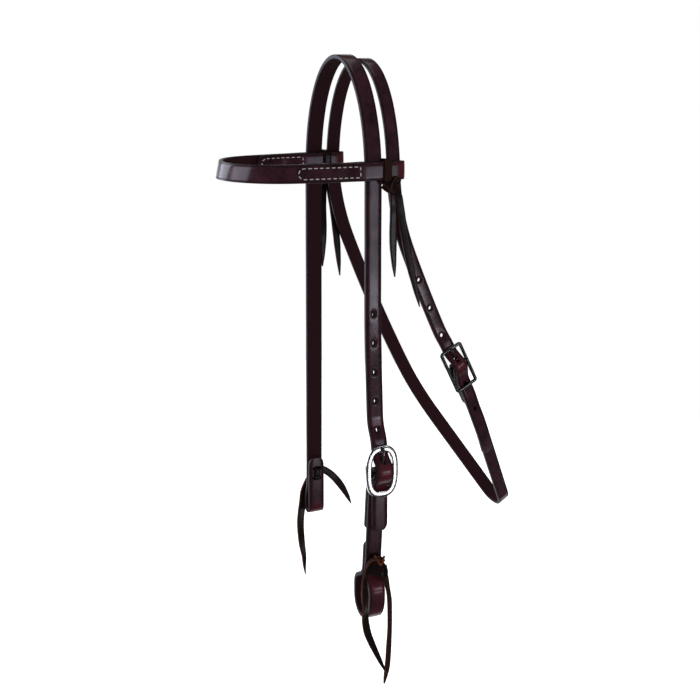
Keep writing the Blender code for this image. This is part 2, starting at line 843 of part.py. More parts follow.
def build_throatlatch(material):
    points = subdivided(throat_points(), throat_width * 1.6)
    stations = [throat_place(point.x, point.y) for point in points]
    stations = shape_both_ends(stations, throat_width * 0.6, rounded_end_shares)
    strap = add_piece("throatlatch_strap",
                      strap_mesh("throatlatch_strap", stations, throat_width,
                                 throat_thickness, strap_edge * 0.8), material)
    bar, turn = throat_bar_place()
    tip_distance = throat_billet_length + tongue_hole_rise(throat_buckle)
    distances = [tip_distance + throat_hole_pitch * index
                 for index in range(1, throat_hole_count)]
    places = hole_places(stations[::-1], distances, throat_hole_diameter,
                         throat_hole_diameter, throat_thickness * 3)
    places.append(tongue_punch(throat_buckle, bar, turn, throat_hole_diameter,
                               throat_hole_diameter * 1.35, throat_thickness * 2.1))
    combine(strap, add_guide("throat_holes", prism_mesh("throat_holes", places)), 'DIFFERENCE')
    slot = add_guide("throat_eye_slot", eye_slot("throat_eye_slot", throat_buckle,
                                                 throat_thickness))
    slot.parent = bpy.data.objects["throat_buckle_mount"]
    combine(strap, slot, 'DIFFERENCE')
    return strap


def tongue_hole_rise(buckle):
    """Length along the billet from the bar's level up to the hole that the tongue is in."""
    return buckle.billet_radius * wrap_angle + tongue_crossing(buckle)[1]


def throat_bar_place():
    """The bar's centre, and the turn from the buckle's own axes to the head's."""
    station = throat_place(throat_bar_out(), -throat_buckle_drop)
    lean = math.atan2(station.across.z, station.across.x)
    return station.centre, Matrix.Rotation(-lean, 3, 'Y')


def smooth_line(points, steps=4):
    """A curve through its points."""
    result = [points[0]]
    for index in range(len(points) - 1):
        before = points[max(index - 1, 0)]
        start, end = points[index], points[index + 1]
        after = points[min(index + 2, len(points) - 1)]
        for step in range(1, steps + 1):
            t = step / steps
            way_in, way_out = (end - before) / 2, (after - start) / 2
            result.append(start * (2 * t ** 3 - 3 * t ** 2 + 1)
                          + way_in * (t ** 3 - 2 * t ** 2 + t)
                          + end * (3 * t ** 2 - 2 * t ** 3) + way_out * (t ** 3 - t ** 2))
    return result


class TieFrame:
    """Places a tie's points, given as (back, outward, up) from a spot on one side's straps."""

    def __init__(self, origin, side):
        self.origin = origin
        self.side = side

    def point(self, back, outward, up):
        return self.origin + Vector((back, self.side * outward, up))

    def way(self, back, outward, up):
        return Vector((back, self.side * outward, up))


def tail_stations(frame, length, route_shares, way_shares, taper_shares):
    """A hanging end of lace: its route in shares of its length, flat ways across it, taper."""
    points = smooth_line([frame.point(*(share * length for share in shares))
                          for shares in route_shares])
    ways = smooth_line([frame.way(*way) for way in way_shares])
    stations = []
    for index, (point, way) in enumerate(zip(points, ways)):
        share = index / (len(points) - 1)
        stations.append(Station(point, way, end_width_share(1 - share, 1, taper_shares)))
    return stations


def knot_mesh(name, frame, centre, half_back, half_out, height, tilt):
    """The tight knot's body, with its axis tilted back from upright."""
    axis = (math.sin(tilt), 0, math.cos(tilt))
    across = frame.way(math.cos(tilt), 0, -math.sin(tilt))
    stations = []
    for level, share in ((-0.5, 0.7), (-0.25, 1), (0.25, 1), (0.5, 0.7)):
        point = frame.point(*(part + height * level * way for part, way in zip(centre, axis)))
        stations.append(Station(point, across, share))
    return strap_mesh(name, stations, 2 * half_back, 2 * half_out, half_out * 0.5)


def lace_mesh(name, stations, closed=False):
    return strap_mesh(name, stations, lace_width, lace_thickness, lace_edge, closed)


def build_tie(name, meshes, material, parent=None):
    """One lace joined from its turn round the straps, its knot and its two ends."""
    tie = add_piece(name, meshes[0], material, parent)
    for index, mesh in enumerate(meshes[1:], 1):
        combine(tie, add_guide(f"{name}_run_{index}", mesh, parent), 'UNION')
    return tie


def band_loop_stations(frame):
    """The turn of lace round both layers of the browband, narrow where it passes the straps."""
    half_out = band_gap(1) / 2 + band_thickness / 2 + clearance + lace_thickness / 2
    half_up = band_width / 2 + clearance + lace_thickness / 2
    corner = lace_thickness
    route = Route(0, -half_up, 0)
    for across, rise in ((half_out, half_up), (half_up, half_out)) * 2:
        route.straight(across - corner).turn(corner, 90 * DEG, 30 * DEG).straight(rise - corner)
    stations = []
    for point in route.points[:-1]:
        share = 1 if abs(point.y) < half_up - lace_thickness / 2 else 0.68
        stations.append(Station(frame.point(0, point.x, point.y), ACROSS, share))
    return stations


def tie_staple_stations(frame, thickness):
    """The lace's run in through one slot, down the inner face and out of the other slot."""
    depth = 2 * thickness + 2 * clearance + lace_thickness / 2
    corner = lace_thickness * 0.7
    reach = lace_thickness * 1.5
    route = Route(reach, tie_slot_pitch / 2, 180 * DEG)
    route.straight(reach + depth - corner).turn(corner, 90 * DEG, 30 * DEG)
    route.straight(tie_slot_pitch - 2 * corner).turn(corner, 90 * DEG, 30 * DEG)
    route.straight(reach + depth - corner)
    return [Station(frame.point(0, point.x, point.y), ACROSS, 0.7) for point in route.points]


# Tails: routes in shares of the length, as (back, outward, up), with the way across the lace
band_tail_length = 100 * MM
bit_tail_length = 100 * MM
tail_taper_shares = ((0, 0.12), (0.2, 0.7), (0.45, 1), (1, 1))
near_band_front_tail_shares = ((0.03, 0.05, -0.02), (0.055, 0.075, -0.12),
                               (0.064, 0.06, -0.3), (0.07, 0.045, -0.55),
                               (0.09, 0.04, -0.82))
near_band_rear_tail_shares = ((0.06, 0.055, -0.03), (0.095, 0.085, -0.13),
                              (0.14, 0.08, -0.35), (0.21, 0.085, -0.7),
                              (0.31, 0.09, -1.09))
off_band_front_tail_shares = ((0.03, 0.05, -0.02), (0.03, 0.075, -0.12),
                              (0.01, 0.05, -0.35), (0.0, 0.02, -0.6),
                              (-0.02, 0.0, -0.88))
off_band_rear_tail_shares = ((0.06, 0.055, -0.03), (0.09, 0.08, -0.13),
                             (0.13, 0.06, -0.4), (0.15, 0.03, -0.7),
                             (0.16, 0.0, -0.98))
hanging_ways = ((1, 0, 0),) * 5
near_bit_front_tail_shares = ((0.01, 0.034, 0.01), (-0.06, 0.054, -0.01),
                              (-0.11, 0.082, -0.09), (-0.14, 0.108, -0.24),
                              (-0.145, 0.108, -0.45), (-0.13, 0.08, -0.7),
                              (-0.04, 0.05, -0.93), (0.118, 0.03, -1.137))
front_tail_ways = ((0.2, 0, -1), (0.5, 0, -0.85), (0.9, 0, -0.35), (1, 0, -0.1),
                   (1, 0, 0), (1, 0, 0.1), (0.9, 0, 0.4), (0.8, 0, 0.5))
near_bit_rear_tail_shares = ((-0.01, 0.036, -0.01), (0.06, 0.05, -0.03),
                             (0.105, 0.045, -0.11), (0.13, 0.03, -0.25),
                             (0.15, 0.012, -0.42), (0.157, 0.005, -0.66),
                             (0.145, 0.005, -0.95), (0.105, 0.003, -1.25))
rear_tail_ways = ((0.2, 0, 1), (0.5, -0.1, 0.85), (0.8, -0.3, 0.5), (0.8, -0.6, 0.15),
                  (0.6, -0.8, 0), (0.6, -0.8, 0), (0.6, -0.8, 0), (0.6, -0.8, 0))
off_bit_front_tail_shares = ((0.01, 0.034, 0.01), (-0.05, 0.054, -0.01),
                             (-0.08, 0.075, -0.08), (-0.12, 0.07, -0.22),
                             (-0.135, 0.06, -0.37), (-0.135, 0.05, -0.57),
                             (-0.115, 0.04, -0.8), (-0.094, 0.04, -1.03))
off_bit_rear_tail_shares = ((-0.01, 0.036, -0.01), (0.05, 0.055, -0.01),
                            (0.1, 0.065, -0.01), (0.17, 0.065, -0.04),
                            (0.25, 0.06, -0.11), (0.33, 0.06, -0.21),
                            (0.39, 0.06, -0.31), (0.44, 0.06, -0.41))
off_rear_tail_ways = ((0.1, 0, 1), (0.15, 0, 1), (0.3, 0, 1), (0.45, 0, 0.9),
                      (0.6, 0, 0.7), (0.75, 0, 0.6), (0.8, 0, 0.5), (0.8, 0, 0.5))


def build_band_tie(name, side, front_shares, rear_shares, material):
    gap_back = (crown_width / 2 + throat_set_back - throat_width / 2) / 2
    middle_out = leg_plane - band_slack / 2
    frame = TieFrame(Vector((gap_back, side * middle_out, -band_height)), side)
    foot = TieFrame(frame.point(0, 0, -band_width / 2 - lace_thickness / 2), side)
    knot = (lace_width * 0.6, crown_thickness / 2 + clearance + lace_thickness * 2.3,
            -lace_width * 0.95)
    meshes = [lace_mesh(name + "_loop", band_loop_stations(frame), True),
              knot_mesh(name + "_knot", foot, knot, lace_width, lace_thickness * 1.7,
                        lace_width * 1.1, 25 * DEG)]
    for shares in (front_shares, rear_shares):
        stations = tail_stations(foot, band_tail_length, shares, hanging_ways,
                                 tail_taper_shares)
        meshes.append(lace_mesh(name + "_tail", stations))
    return build_tie(name, meshes, material)


def build_bit_tie(name, frame, thickness, tails, material, parent=None):
    knot = (lace_width * 0.2, lace_thickness * 2, -lace_width * 0.4)
    meshes = [lace_mesh(name + "_staple", tie_staple_stations(frame, thickness)),
              knot_mesh(name + "_knot", frame, knot, lace_width * 1.3, lace_thickness * 1.7,
                        lace_width * 2, 12 * DEG)]
    for shares, ways in tails:
        stations = tail_stations(frame, bit_tail_length, shares, ways, tail_taper_shares)
        meshes.append(lace_mesh(name + "_tail", stations))
    return build_tie(name, meshes, material, parent)


def main():
    for existing in list(bpy.data.objects):
        bpy.data.objects.remove(existing)
    leather = make_material("dark_harness_leather", (0.030, 0.014, 0.017), 0.42)
    lace_leather = make_material("latigo_lace", (0.026, 0.012, 0.012), 0.5)
    stainless = make_material("stainless_steel", (0.74, 0.74, 0.75), 0.18, 1)
    dark_steel = make_material("dark_nickel_steel", (0.30, 0.30, 0.31), 0.3, 1)

    bar_out = leg_plane + cheek_stand_out - cheek_bar_setback
    cheek_mount = add_mount("cheek_buckle_mount",
                            (cheek_set_back, -bar_out, -cheek_buckle_drop))
    throat_bar, throat_turn = throat_bar_place()
    throat_mount = add_mount("throat_buckle_mount", throat_bar,
                             -throat_turn.to_euler().y)

    build_crown_strap(leather)
    build_throatlatch(leather)
    build_browband(leather)
    build_cheek_piece(leather, cheek_mount)

    oval = oval_points((cheek_frame_width - cheek_rail_width) / 2,
                       (cheek_frame_height - cheek_rail_width) / 2, 2.5)
    build_buckle_frame("cheek_buckle_frame", cheek_buckle, oval, cheek_rail_width,
                       cheek_rail_depth, cheek_bar_diameter, stainless, cheek_mount)
    build_tongue("cheek_buckle_tongue", cheek_buckle, cheek_frame_height, stainless,
                 cheek_mount)
    square = corner_points((throat_frame_width - throat_rail_width) / 2,
                           (throat_frame_height - throat_rail_width) / 2,
                           throat_rail_width)
    build_buckle_frame("throatlatch_buckle_frame", throat_buckle, square, throat_rail_width,
                       throat_rail_depth, throat_bar_diameter, dark_steel, throat_mount)
    build_tongue("throatlatch_buckle_tongue", throat_buckle, throat_frame_height, dark_steel,
                 throat_mount)

    build_band_tie("near_browband_tie", -1, near_band_front_tail_shares,
                   near_band_rear_tail_shares, lace_leather)
    build_band_tie("off_browband_tie", 1, off_band_front_tail_shares,
                   off_band_rear_tail_shares, lace_leather)
    near_face = -(cheek_buckle.main_rest + cheek_thickness / 2)
    level = cheek_buckle_drop - near_tie_drop
    near_tie = TieFrame(Vector((cheek_lean(level), near_face, level)), -1)
    build_bit_tie("near_bit_tie", near_tie, cheek_thickness,
                  ((near_bit_front_tail_shares, front_tail_ways),
                   (near_bit_rear_tail_shares, rear_tail_ways)), lace_leather, cheek_mount)
    off_tie = TieFrame(Vector((0, leg_plane + crown_thickness / 2, -off_tie_drop)), 1)
    build_bit_tie("off_bit_tie", off_tie, crown_thickness,
                  ((off_bit_front_tail_shares, front_tail_ways),
                   (off_bit_rear_tail_shares, off_rear_tail_ways)), lace_leather)


main()
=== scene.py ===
import json
import math

import bmesh
import bpy
import numpy as np
from mathutils import Matrix, Vector

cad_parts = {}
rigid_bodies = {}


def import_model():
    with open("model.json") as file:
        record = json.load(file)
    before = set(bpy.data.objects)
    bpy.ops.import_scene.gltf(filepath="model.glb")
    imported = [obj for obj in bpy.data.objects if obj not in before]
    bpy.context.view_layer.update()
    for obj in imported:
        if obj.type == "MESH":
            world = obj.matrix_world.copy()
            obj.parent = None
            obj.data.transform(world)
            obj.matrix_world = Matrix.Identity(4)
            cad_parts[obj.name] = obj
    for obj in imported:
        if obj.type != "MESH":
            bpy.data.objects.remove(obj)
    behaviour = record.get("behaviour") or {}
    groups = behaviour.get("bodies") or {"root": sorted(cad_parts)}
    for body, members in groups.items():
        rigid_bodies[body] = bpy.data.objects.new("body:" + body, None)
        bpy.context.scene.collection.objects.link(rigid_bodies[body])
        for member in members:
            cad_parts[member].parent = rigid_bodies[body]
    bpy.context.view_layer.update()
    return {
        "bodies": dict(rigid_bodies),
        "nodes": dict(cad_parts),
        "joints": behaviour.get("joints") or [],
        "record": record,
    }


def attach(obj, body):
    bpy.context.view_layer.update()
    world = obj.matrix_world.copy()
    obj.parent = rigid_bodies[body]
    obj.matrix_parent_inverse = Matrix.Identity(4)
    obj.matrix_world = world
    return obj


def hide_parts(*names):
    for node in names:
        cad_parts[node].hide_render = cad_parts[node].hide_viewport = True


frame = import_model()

MM = 0.001
DEG = math.pi / 180
ACROSS = Vector((1, 0, 0))
UP = Vector((0, 0, 1))

# Leather
clearance = 0.3 * MM
crown_width = 15.2 * MM
crown_thickness = 3.8 * MM
cheek_width = crown_width
cheek_thickness = 3.8 * MM
throat_width = 12.4 * MM
throat_thickness = 3.0 * MM
band_width = 15.6 * MM
band_thickness = 3.6 * MM
crown_end_length = 8.4 * MM
cheek_end_length = 4.6 * MM
throat_end_length = 7.4 * MM
band_end_length = 9.4 * MM
punch_depth = 11.4 * MM
lace_width = 7.0 * MM
lace_thickness = 1.8 * MM
lace_corner_radius = 1.3 * MM
lace_reach = 2.7 * MM

# Head size: the straps' legs hang this far apart, and the arch rises from them to the poll
leg_spacing = 111.6 * MM
crown_arch_rise = 100 * MM
throat_arch_rise = 97 * MM
throat_set_back = 19.4 * MM
throat_arch_drop = 2.5 * MM

# Browband
band_height = 91.5 * MM
band_reach = 6.5 * MM
band_side_radius = 250 * MM
band_ease_radius = 80 * MM
near_band_fold_length = 98 * MM
off_band_fold_length = 86 * MM
band_turn_nest = 1.5 * MM
band_slack = 0.9 * MM
band_merge_length = 17 * MM

# Cheek buckle and the straps through it
cheek_buckle_drop = 351.7 * MM
cheek_frame_width = 31.4 * MM
cheek_frame_height = 46.8 * MM
cheek_frame_lift = 0.5 * MM
cheek_rail_width = 5.4 * MM
cheek_rail_depth = 3.4 * MM
cheek_bar_diameter = 3.6 * MM
cheek_bar_setback = 1.0 * MM
cheek_tongue_diameter = 2.6 * MM
cheek_stand_out = 11 * MM
cheek_set_back = 3.3 * MM
cheek_set_back_run = 150 * MM
cheek_hole_width = 2.7 * MM
cheek_hole_length = 4.4 * MM
cheek_worn_hole_width = 4.0 * MM
cheek_worn_hole_length = 6.4 * MM
cheek_first_hole = 30.7 * MM
cheek_hole_pitch = 25.7 * MM
crown_billet_length = 54.8 * MM
crown_ease_run = 32 * MM
cheek_ease_extra = 2.4 * MM

# Throatlatch buckle and the straps through it
throat_buckle_drop = 278 * MM
throat_frame_width = 24.0 * MM
throat_frame_height = 42.4 * MM
throat_frame_lift = -3 * MM
throat_rail_width = 3.1 * MM
throat_rail_depth = 2.7 * MM
throat_corner_radius = 1.7 * MM
throat_bar_diameter = 2.6 * MM
throat_bar_setback = 0.6 * MM
throat_tongue_diameter = 2.2 * MM
throat_hole_diameter = 3.6 * MM
throat_worn_hole_length = 5.3 * MM
throat_worn_hole_depth = 6.3 * MM
throat_hole_pitch = 28.2 * MM
throat_billet_length = 107 * MM
throat_billet_offset = 2.0 * MM
throat_billet_offset_run = 40 * MM
throat_billet_holes = 2
throat_fold_length = 44 * MM
throat_ease_run = 24 * MM
throat_ease_extra = 2.0 * MM
eye_slot_room = 0.45 * MM

# Throatlatch hang: it leans back below the browband and narrows to a round bottom
throat_lean_start = 86 * MM
throat_first_lean_run = 78 * MM
throat_second_lean_run = 210 * MM
throat_bottom_drop = 458 * MM
throat_ease_radius = 170 * MM
throat_bottom_radius = 14 * MM

# Cheek piece and bit loops
cheek_fold_length = 55 * MM
near_fold_drop = 418 * MM
near_tie_drop = 434.5 * MM
near_neck_drop = 446 * MM
near_back_neck_drop = 441.5 * MM
near_loop_drop = 488 * MM
near_loop_width = 27.6 * MM
near_loop_bend_height = 18.5 * MM
near_loop_front_ease = 15 * MM
near_loop_back_ease = 17 * MM
near_loop_outset = 8.6 * MM
near_loop_forward = 4.5 * MM
off_fold_drop = 369 * MM
off_tie_drop = 384 * MM
off_neck_drop = 396 * MM
off_loop_drop = 422 * MM
off_loop_gap = 4.2 * MM
off_set_forward = 1.2 * MM
off_set_forward_run = 24 * MM
tie_slot_pitch = 9.5 * MM
tie_slot_width = 8.4 * MM
tie_slot_height = 3.1 * MM
tie_slot_depth = 19 * MM
off_loop_corner_radius = 2.85 * MM

# Turning angles and counts
arc_step = 3.5 * DEG
wrap_angle = 43 * DEG
fold_angle = 50 * DEG
cheek_lower_angle = 43 * DEG
throat_lower_angle = 32 * DEG
band_ease_angle = 8 * DEG
band_side_angle = 6 * DEG
band_front_lean = 14 * DEG
throat_first_lean = 22.5 * DEG
throat_second_lean = 8.5 * DEG
throat_inward = 20 * DEG
punch_tilt = 9 * DEG
crown_hole_count = 5
near_loop_bend_count = 56
throat_hole_count = 5
tongue_eye_lean = 15 * DEG
# Shares: the tongue's rise where it starts to lift and along which it lifts, the lace's width
# where it is pulled in, and a strap's width at its very tip
tongue_lift_start_share = 0.3
tongue_lift_run_share = 0.5
pulled_lace_share = 0.7
strap_tip_share = 0.5

leg_plane = leg_spacing / 2
cheek_bar_out = leg_plane + cheek_stand_out - cheek_bar_setback
cheek_bar = Vector((cheek_set_back, -cheek_bar_out, -cheek_buckle_drop))

# Fineness of the visual model
ring_step = 2.2 * MM
ring_gap = 0.12 * MM
least_step = 0.0001 * MM
lace_ring_step = 1.1 * MM
end_ring_count = 12
hole_ring_step = 0.45 * MM
hole_ring_reach = 2.4 * MM
tip_ring_count = 4
tip_ring_share = 0.3
most_inset_share = 0.96
edge_inset_share = 0.9
route_step = 6 * MM

# Edges and a strap's ring of points, from the middle of the flesh side to that of the grain
# side: shares of the flat, degrees round the edge, the crease as (offset in mm, share of its
# depth, painted shade in the groove), and the grain's crown as (share of the flat, rise in mm)
edge_radius = 0.85 * MM
throat_edge_share = 0.85
lace_edge_radius = 0.32 * MM
lace_crown = 0.05 * MM
crease_inset = 1.45 * MM
throat_crease_share = 0.9
crease_depth = 0.24 * MM
flesh_shares = (0, 0.34, 0.67, 1)
flesh_edge_degrees = (-65, -40, -15)
grain_edge_marks = ((15, 1), (40, 1), (65, 0.55), (90, 0.55))
crease_rows = ((-0.45, 0.1, 0), (-0.2, 0.7, 0.7), (0, 1, 1), (0.22, 0.7, 0.7), (0.65, 0.05, 0))
crown_rows = ((0.72, 0.03), (0.48, 0.05), (0.24, 0.06), (0, 0.065))
crease_fade = 3 * MM
crease_fade_start_share = 0.6
dimple_reach = 1.3 * MM
dimple_depth = 0.35 * MM
# How much painted shade darkens the pressed-in ring round a hole
dimple_shade = 0.95
# How near a buckle's bar the strap edges get painted shade, and how soon it fades out
edge_shade_reach = 24 * MM
edge_shade_fade = 8 * MM

# A strap end's outline as powers of its rounding, and how strongly a bend marks the leather
tip_roundness = 2.6
tip_fullness = 0.8
strap_bend_gain = 3.0
strap_bend_least = 0.12
lace_bend_gain = 2
lace_bend_least = 0.2

# Buckle frames: how square the oval and the rails are, and the bar's flare into the rails
oval_power = 2.8
cheek_rail_power = 8.0
throat_rail_power = 2.3
bar_flare_share = 0.28
bar_flare_length = 1.1 * MM
tongue_taper_length = 9 * MM
tongue_tip_share = 0.84
tongue_end_share = 0.9
tongue_rings = 110

# Stitching round the browband's sewn ends
stitch_pitch = 5.1 * MM
stitch_length = 3.2 * MM
stitch_rows = 8.9 * MM
stitch_corner = 4.45 * MM
near_stitch_rear = 38.6 * MM
off_stitch_rear = 37.5 * MM
stitch_front_inset = 3.2 * MM
thread_radius = 0.42 * MM

# Tail ends: distance from the tip as a share of the length, then width share
long_taper = ((0, 0.12, 0.3, 0.45, 1), (0.1, 0.55, 0.9, 1, 1))
short_taper = ((0, 0.06, 0.12, 1), (0.1, 0.7, 1, 1))

# Knots: (back, outward, up) in mm, the way across the lace, and its width share
near_knot_rows = (
    ((-2.4, 5.6, 6.6, 0.46, -0.86, -0.2, 0.5), (0.0, 6.6, 2.6, 0.46, -0.86, -0.2, 0.55),
     (2.8, 7.2, -2.6, 0.46, -0.86, -0.2, 0.6), (5.4, 6.8, 1.0, 0.46, -0.86, -0.2, 0.55),
     (7.4, 5.4, 4.6, 0.46, -0.86, -0.2, 0.5)),
    ((-5.4, 3.2, -0.6, -0.2, -0.2, 1.0, 0.75), (-2.6, 5.4, 2.2, -0.1, -0.2, 1.0, 0.9),
     (1.4, 6.0, 2.6, 0.1, -0.1, 1.0, 0.95), (5.2, 5.2, 0.6, 0.4, -0.1, 0.9, 0.85),
     (7.6, 3.0, -2.2, 0.6, -0.1, 0.7, 0.8)),
    ((-9.0, 0.9, -2.6, 0.0, 0.0, 1.0, 0.95), (-5.8, 4.4, -3.4, 0.0, 0.1, 1.0, 1.1),
     (0.4, 5.7, -5.0, 0.1, 0.1, 1.0, 1.2), (6.4, 6.2, -6.8, 0.2, 0.1, 1.0, 1.1),
     (10.2, 3.8, -8.4, 0.3, 0.0, 1.0, 0.95), (9.0, 0.8, -9.4, 0.3, 0.0, 1.0, 0.9)),
    ((-8.2, 0.9, -7.8, 0.0, 0.0, 1.0, 0.8), (-4.6, 3.6, -9.0, 0.1, -0.2, 1.0, 0.9),
     (1.6, 4.9, -10.4, 0.2, -0.2, 1.0, 0.95), (7.2, 5.6, -12.4, 0.3, -0.2, 1.0, 0.9),
     (10.6, 3.0, -14.4, 0.4, 0.0, 1.0, 0.8)),
    ((3.4, 6.6, -1.0, 0.6, 0.3, 0.7, 0.6), (6.4, 7.2, -4.4, 0.9, 0.4, 0.4, 0.65),
     (8.0, 6.8, -9.4, 1.0, 0.3, 0.1, 0.65), (8.4, 5.8, -14.0, 0.9, 0.1, -0.2, 0.6),
     (7.4, 4.6, -17.6, 0.8, -0.2, -0.3, 0.55)),
)
off_knot_rows = (
    ((-2.4, 0.9, -2.0, 0.0, 0.0, 1.0, 0.9), (0.6, 3.8, -2.6, 0.1, 0.0, 1.0, 1.0),
     (5.4, 4.4, -3.6, 0.2, 0.0, 1.0, 1.0), (8.6, 1.4, -4.6, 0.2, 0.0, 1.0, 0.9)),
    ((-1.6, 0.9, -7.4, 0.0, 0.0, 1.0, 0.8), (1.8, 3.0, -7.0, 0.1, 0.0, 1.0, 0.9),
     (6.0, 3.4, -6.0, 0.2, 0.0, 1.0, 0.9), (9.0, 1.6, -4.6, 0.2, 0.0, 1.0, 0.8)),
)
# How raw, and so how pale, the cut edges are: each turn of a knot, then the front and rear end
near_knot_raw = (0.6, 0.1, 0.1, 0.15, 0.25)
off_knot_raw = (0, 0)
band_knot_raw = (0.12, 0.15, 0.12)
band_tail_raw = 0.16
near_tail_raw = (0.25, 0.2)
off_tail_raw = (0.42, 0.45)
band_knot_rows = (
    ((-5.0, 4.0, 2.0, 0.6, -0.3, 0.7, 0.85), (0.0, 6.4, -2.0, 0.6, -0.3, 0.7, 0.95),
     (5.0, 8.0, -6.0, 0.6, -0.2, 0.7, 1.0), (9.6, 7.4, -10.6, 0.7, 0.0, 0.7, 0.9)),
    ((9.0, 4.6, -3.5, -1.0, 0.0, 0.1, 0.7), (10.6, 6.8, 0.6, -0.7, -0.4, -0.6, 0.75),
     (7.6, 8.4, 1.4, 0.1, -0.5, -0.9, 0.8), (4.8, 8.8, -3.0, 0.9, -0.3, -0.3, 0.8),
     (4.4, 8.2, -8.5, 1.0, 0.0, 0.0, 0.8)),
    ((-2.5, 3.0, -3.2, 0.2, 0.1, 1.0, 0.8), (2.0, 5.6, -6.5, 0.4, 0.0, 0.9, 0.95),
     (8.0, 5.4, -9.0, 0.5, 0.0, 0.8, 0.95), (11.0, 3.4, -10.5, 0.5, 0.0, 0.8, 0.8)),
)

# Camera, lamps and floor
camera_azimuth = -28 * DEG
camera_elevation = 12.31 * DEG
camera_distance = 1.300
camera_lens = 74.47
camera_sensor = 36
camera_target = (0.0077, 0, -0.2565)
backdrop_way = (0.448, 0.843, -0.3)
backdrop_start = 0.68
backdrop_full = 1.0
room_glow = 0.02
ambient = 0.75
floor_level = -0.68
floor_radius = 0.95
floor_centre = (0.25, 0.88)
floor_fill = 0.7
floor_bounce = 0.45
# Each lamp: name, place, target, width, height, radiance and colour
lamps = (
    ("left_window", (-0.56, 0.84, -0.10), (0, 0, -0.22), 0.55, 0.95, 3.6, (0.80, 0.86, 1.0)),
    ("left_softbox", (-1.0, 0.21, -0.02), (0, 0, -0.1), 0.68, 0.6, 3.1, (0.82, 0.86, 1.0)),
    ("right_softbox", (0.53, -1.02, -0.235), (0, 0, -0.20), 0.11, 0.21, 3.4, (0.84, 0.87, 1.0)),
    ("sheen_strip", (0.53, -1.00, -0.40), (0, 0, -0.20), 0.10, 0.06, 13.0, (0.86, 0.89, 1.0)),
    ("low_softbox", (0.53, -1.02, -0.69), (0, 0, -0.35), 0.14, 0.11, 3.2, (0.98, 0.98, 1.0)),
    ("top_softbox", (0.1, 0.35, 1.05), (0, 0, -0.2), 0.9, 0.9, 0.9, (1.0, 1.0, 1.0)),
)

# Lace ends: places as (back, outward, up) in shares of the length, and ways across the lace
band_tail_length = 100 * MM
bit_tail_length = 100 * MM
near_band_front_tail_shares = ((0.03, 0.05, -0.02), (0.055, 0.075, -0.12),
                               (0.064, 0.06, -0.3), (0.07, 0.045, -0.55),
                               (0.09, 0.04, -0.82))
near_band_rear_tail_shares = ((0.06, 0.055, -0.03), (0.095, 0.085, -0.13),
                              (0.14, 0.08, -0.35), (0.21, 0.085, -0.7),
                              (0.31, 0.09, -1.09))
off_band_front_tail_shares = ((0.03, 0.05, -0.02), (0.03, 0.075, -0.12),
                              (0.01, 0.05, -0.35), (0.0, 0.02, -0.6),
                              (-0.02, 0.0, -0.88))
off_band_rear_tail_shares = ((0.06, 0.055, -0.03), (0.09, 0.08, -0.13),
                             (0.13, 0.06, -0.4), (0.15, 0.03, -0.7),
                             (0.16, 0.0, -0.98))
hanging_ways = ((1, 0, 0),) * 5
turned_ways = ((1, 0.06, 0),) * 5
near_bit_front_tail_shares = ((0.02, 0.06, 0.02), (-0.03, 0.066, 0.036),
                              (-0.08, 0.068, 0.024), (-0.118, 0.072, -0.03),
                              (-0.138, 0.084, -0.11), (-0.146, 0.098, -0.265),
                              (-0.143, 0.1, -0.396), (-0.138, 0.096, -0.5),
                              (-0.11, 0.085, -0.626), (-0.06, 0.07, -0.742),
                              (0.0, 0.058, -0.865), (0.066, 0.045, -0.995),
                              (0.116, 0.04, -1.09))
front_tail_ways = ((0.3, -0.9, -0.2), (0.3, -0.9, -0.2), (0.32, -0.88, -0.2),
                   (0.45, -0.8, -0.25), (0.8, -0.5, -0.2), (0.95, -0.25, -0.05), (0.8, -0.6, 0),
                   (0.95, -0.2, 0), (1, 0, 0.1), (0.95, 0, 0.3), (0.85, 0, 0.5), (0.8, 0, 0.5),
                   (0.8, 0, 0.5))
near_bit_rear_tail_shares = ((0.05, 0.045, -0.1), (0.085, 0.036, -0.14),
                             (0.106, 0.03, -0.186), (0.138, 0.015, -0.297),
                             (0.155, 0.01, -0.397), (0.162, 0.005, -0.51),
                             (0.162, 0.005, -0.67), (0.154, 0.005, -0.84),
                             (0.144, 0.005, -1.0), (0.13, 0.005, -1.093),
                             (0.108, 0.005, -1.196))
rear_tail_ways = ((-0.9, 0.1, -0.4), (-0.85, 0.2, -0.4), (-0.8, 0.4, -0.3),
                  (-0.75, 0.66, -0.1), (-0.82, 0.57, 0), (-0.82, 0.57, 0), (-0.82, 0.57, 0),
                  (-0.88, 0.47, 0), (-0.9, 0.44, 0), (-0.9, 0.44, 0), (-0.9, 0.44, 0))
off_bit_front_tail_shares = ((0.03, 0.04, -0.03), (0.022, 0.06, -0.055),
                             (-0.004, 0.07, -0.09), (-0.033, 0.07, -0.14),
                             (-0.066, 0.07, -0.21), (-0.082, 0.065, -0.308),
                             (-0.111, 0.055, -0.504), (-0.102, 0.05, -0.703),
                             (-0.084, 0.04, -0.848), (-0.079, 0.04, -0.948),
                             (-0.07, 0.04, -1.037))
off_bit_rear_tail_shares = ((-0.01, 0.036, -0.01), (0.05, 0.055, -0.01),
                            (0.1, 0.065, -0.01), (0.17, 0.065, -0.04),
                            (0.25, 0.06, -0.11), (0.33, 0.06, -0.21),
                            (0.39, 0.06, -0.31), (0.44, 0.06, -0.41))
off_rear_tail_ways = ((0.1, 0, 1), (0.15, 0, 1), (0.3, 0, 1), (0.45, 0, 0.9),
                      (0.6, 0, 0.7), (0.75, 0, 0.6), (0.8, 0, 0.5), (0.8, 0, 0.5))
off_front_tail_ways = ((1, 0, 0),) * 11
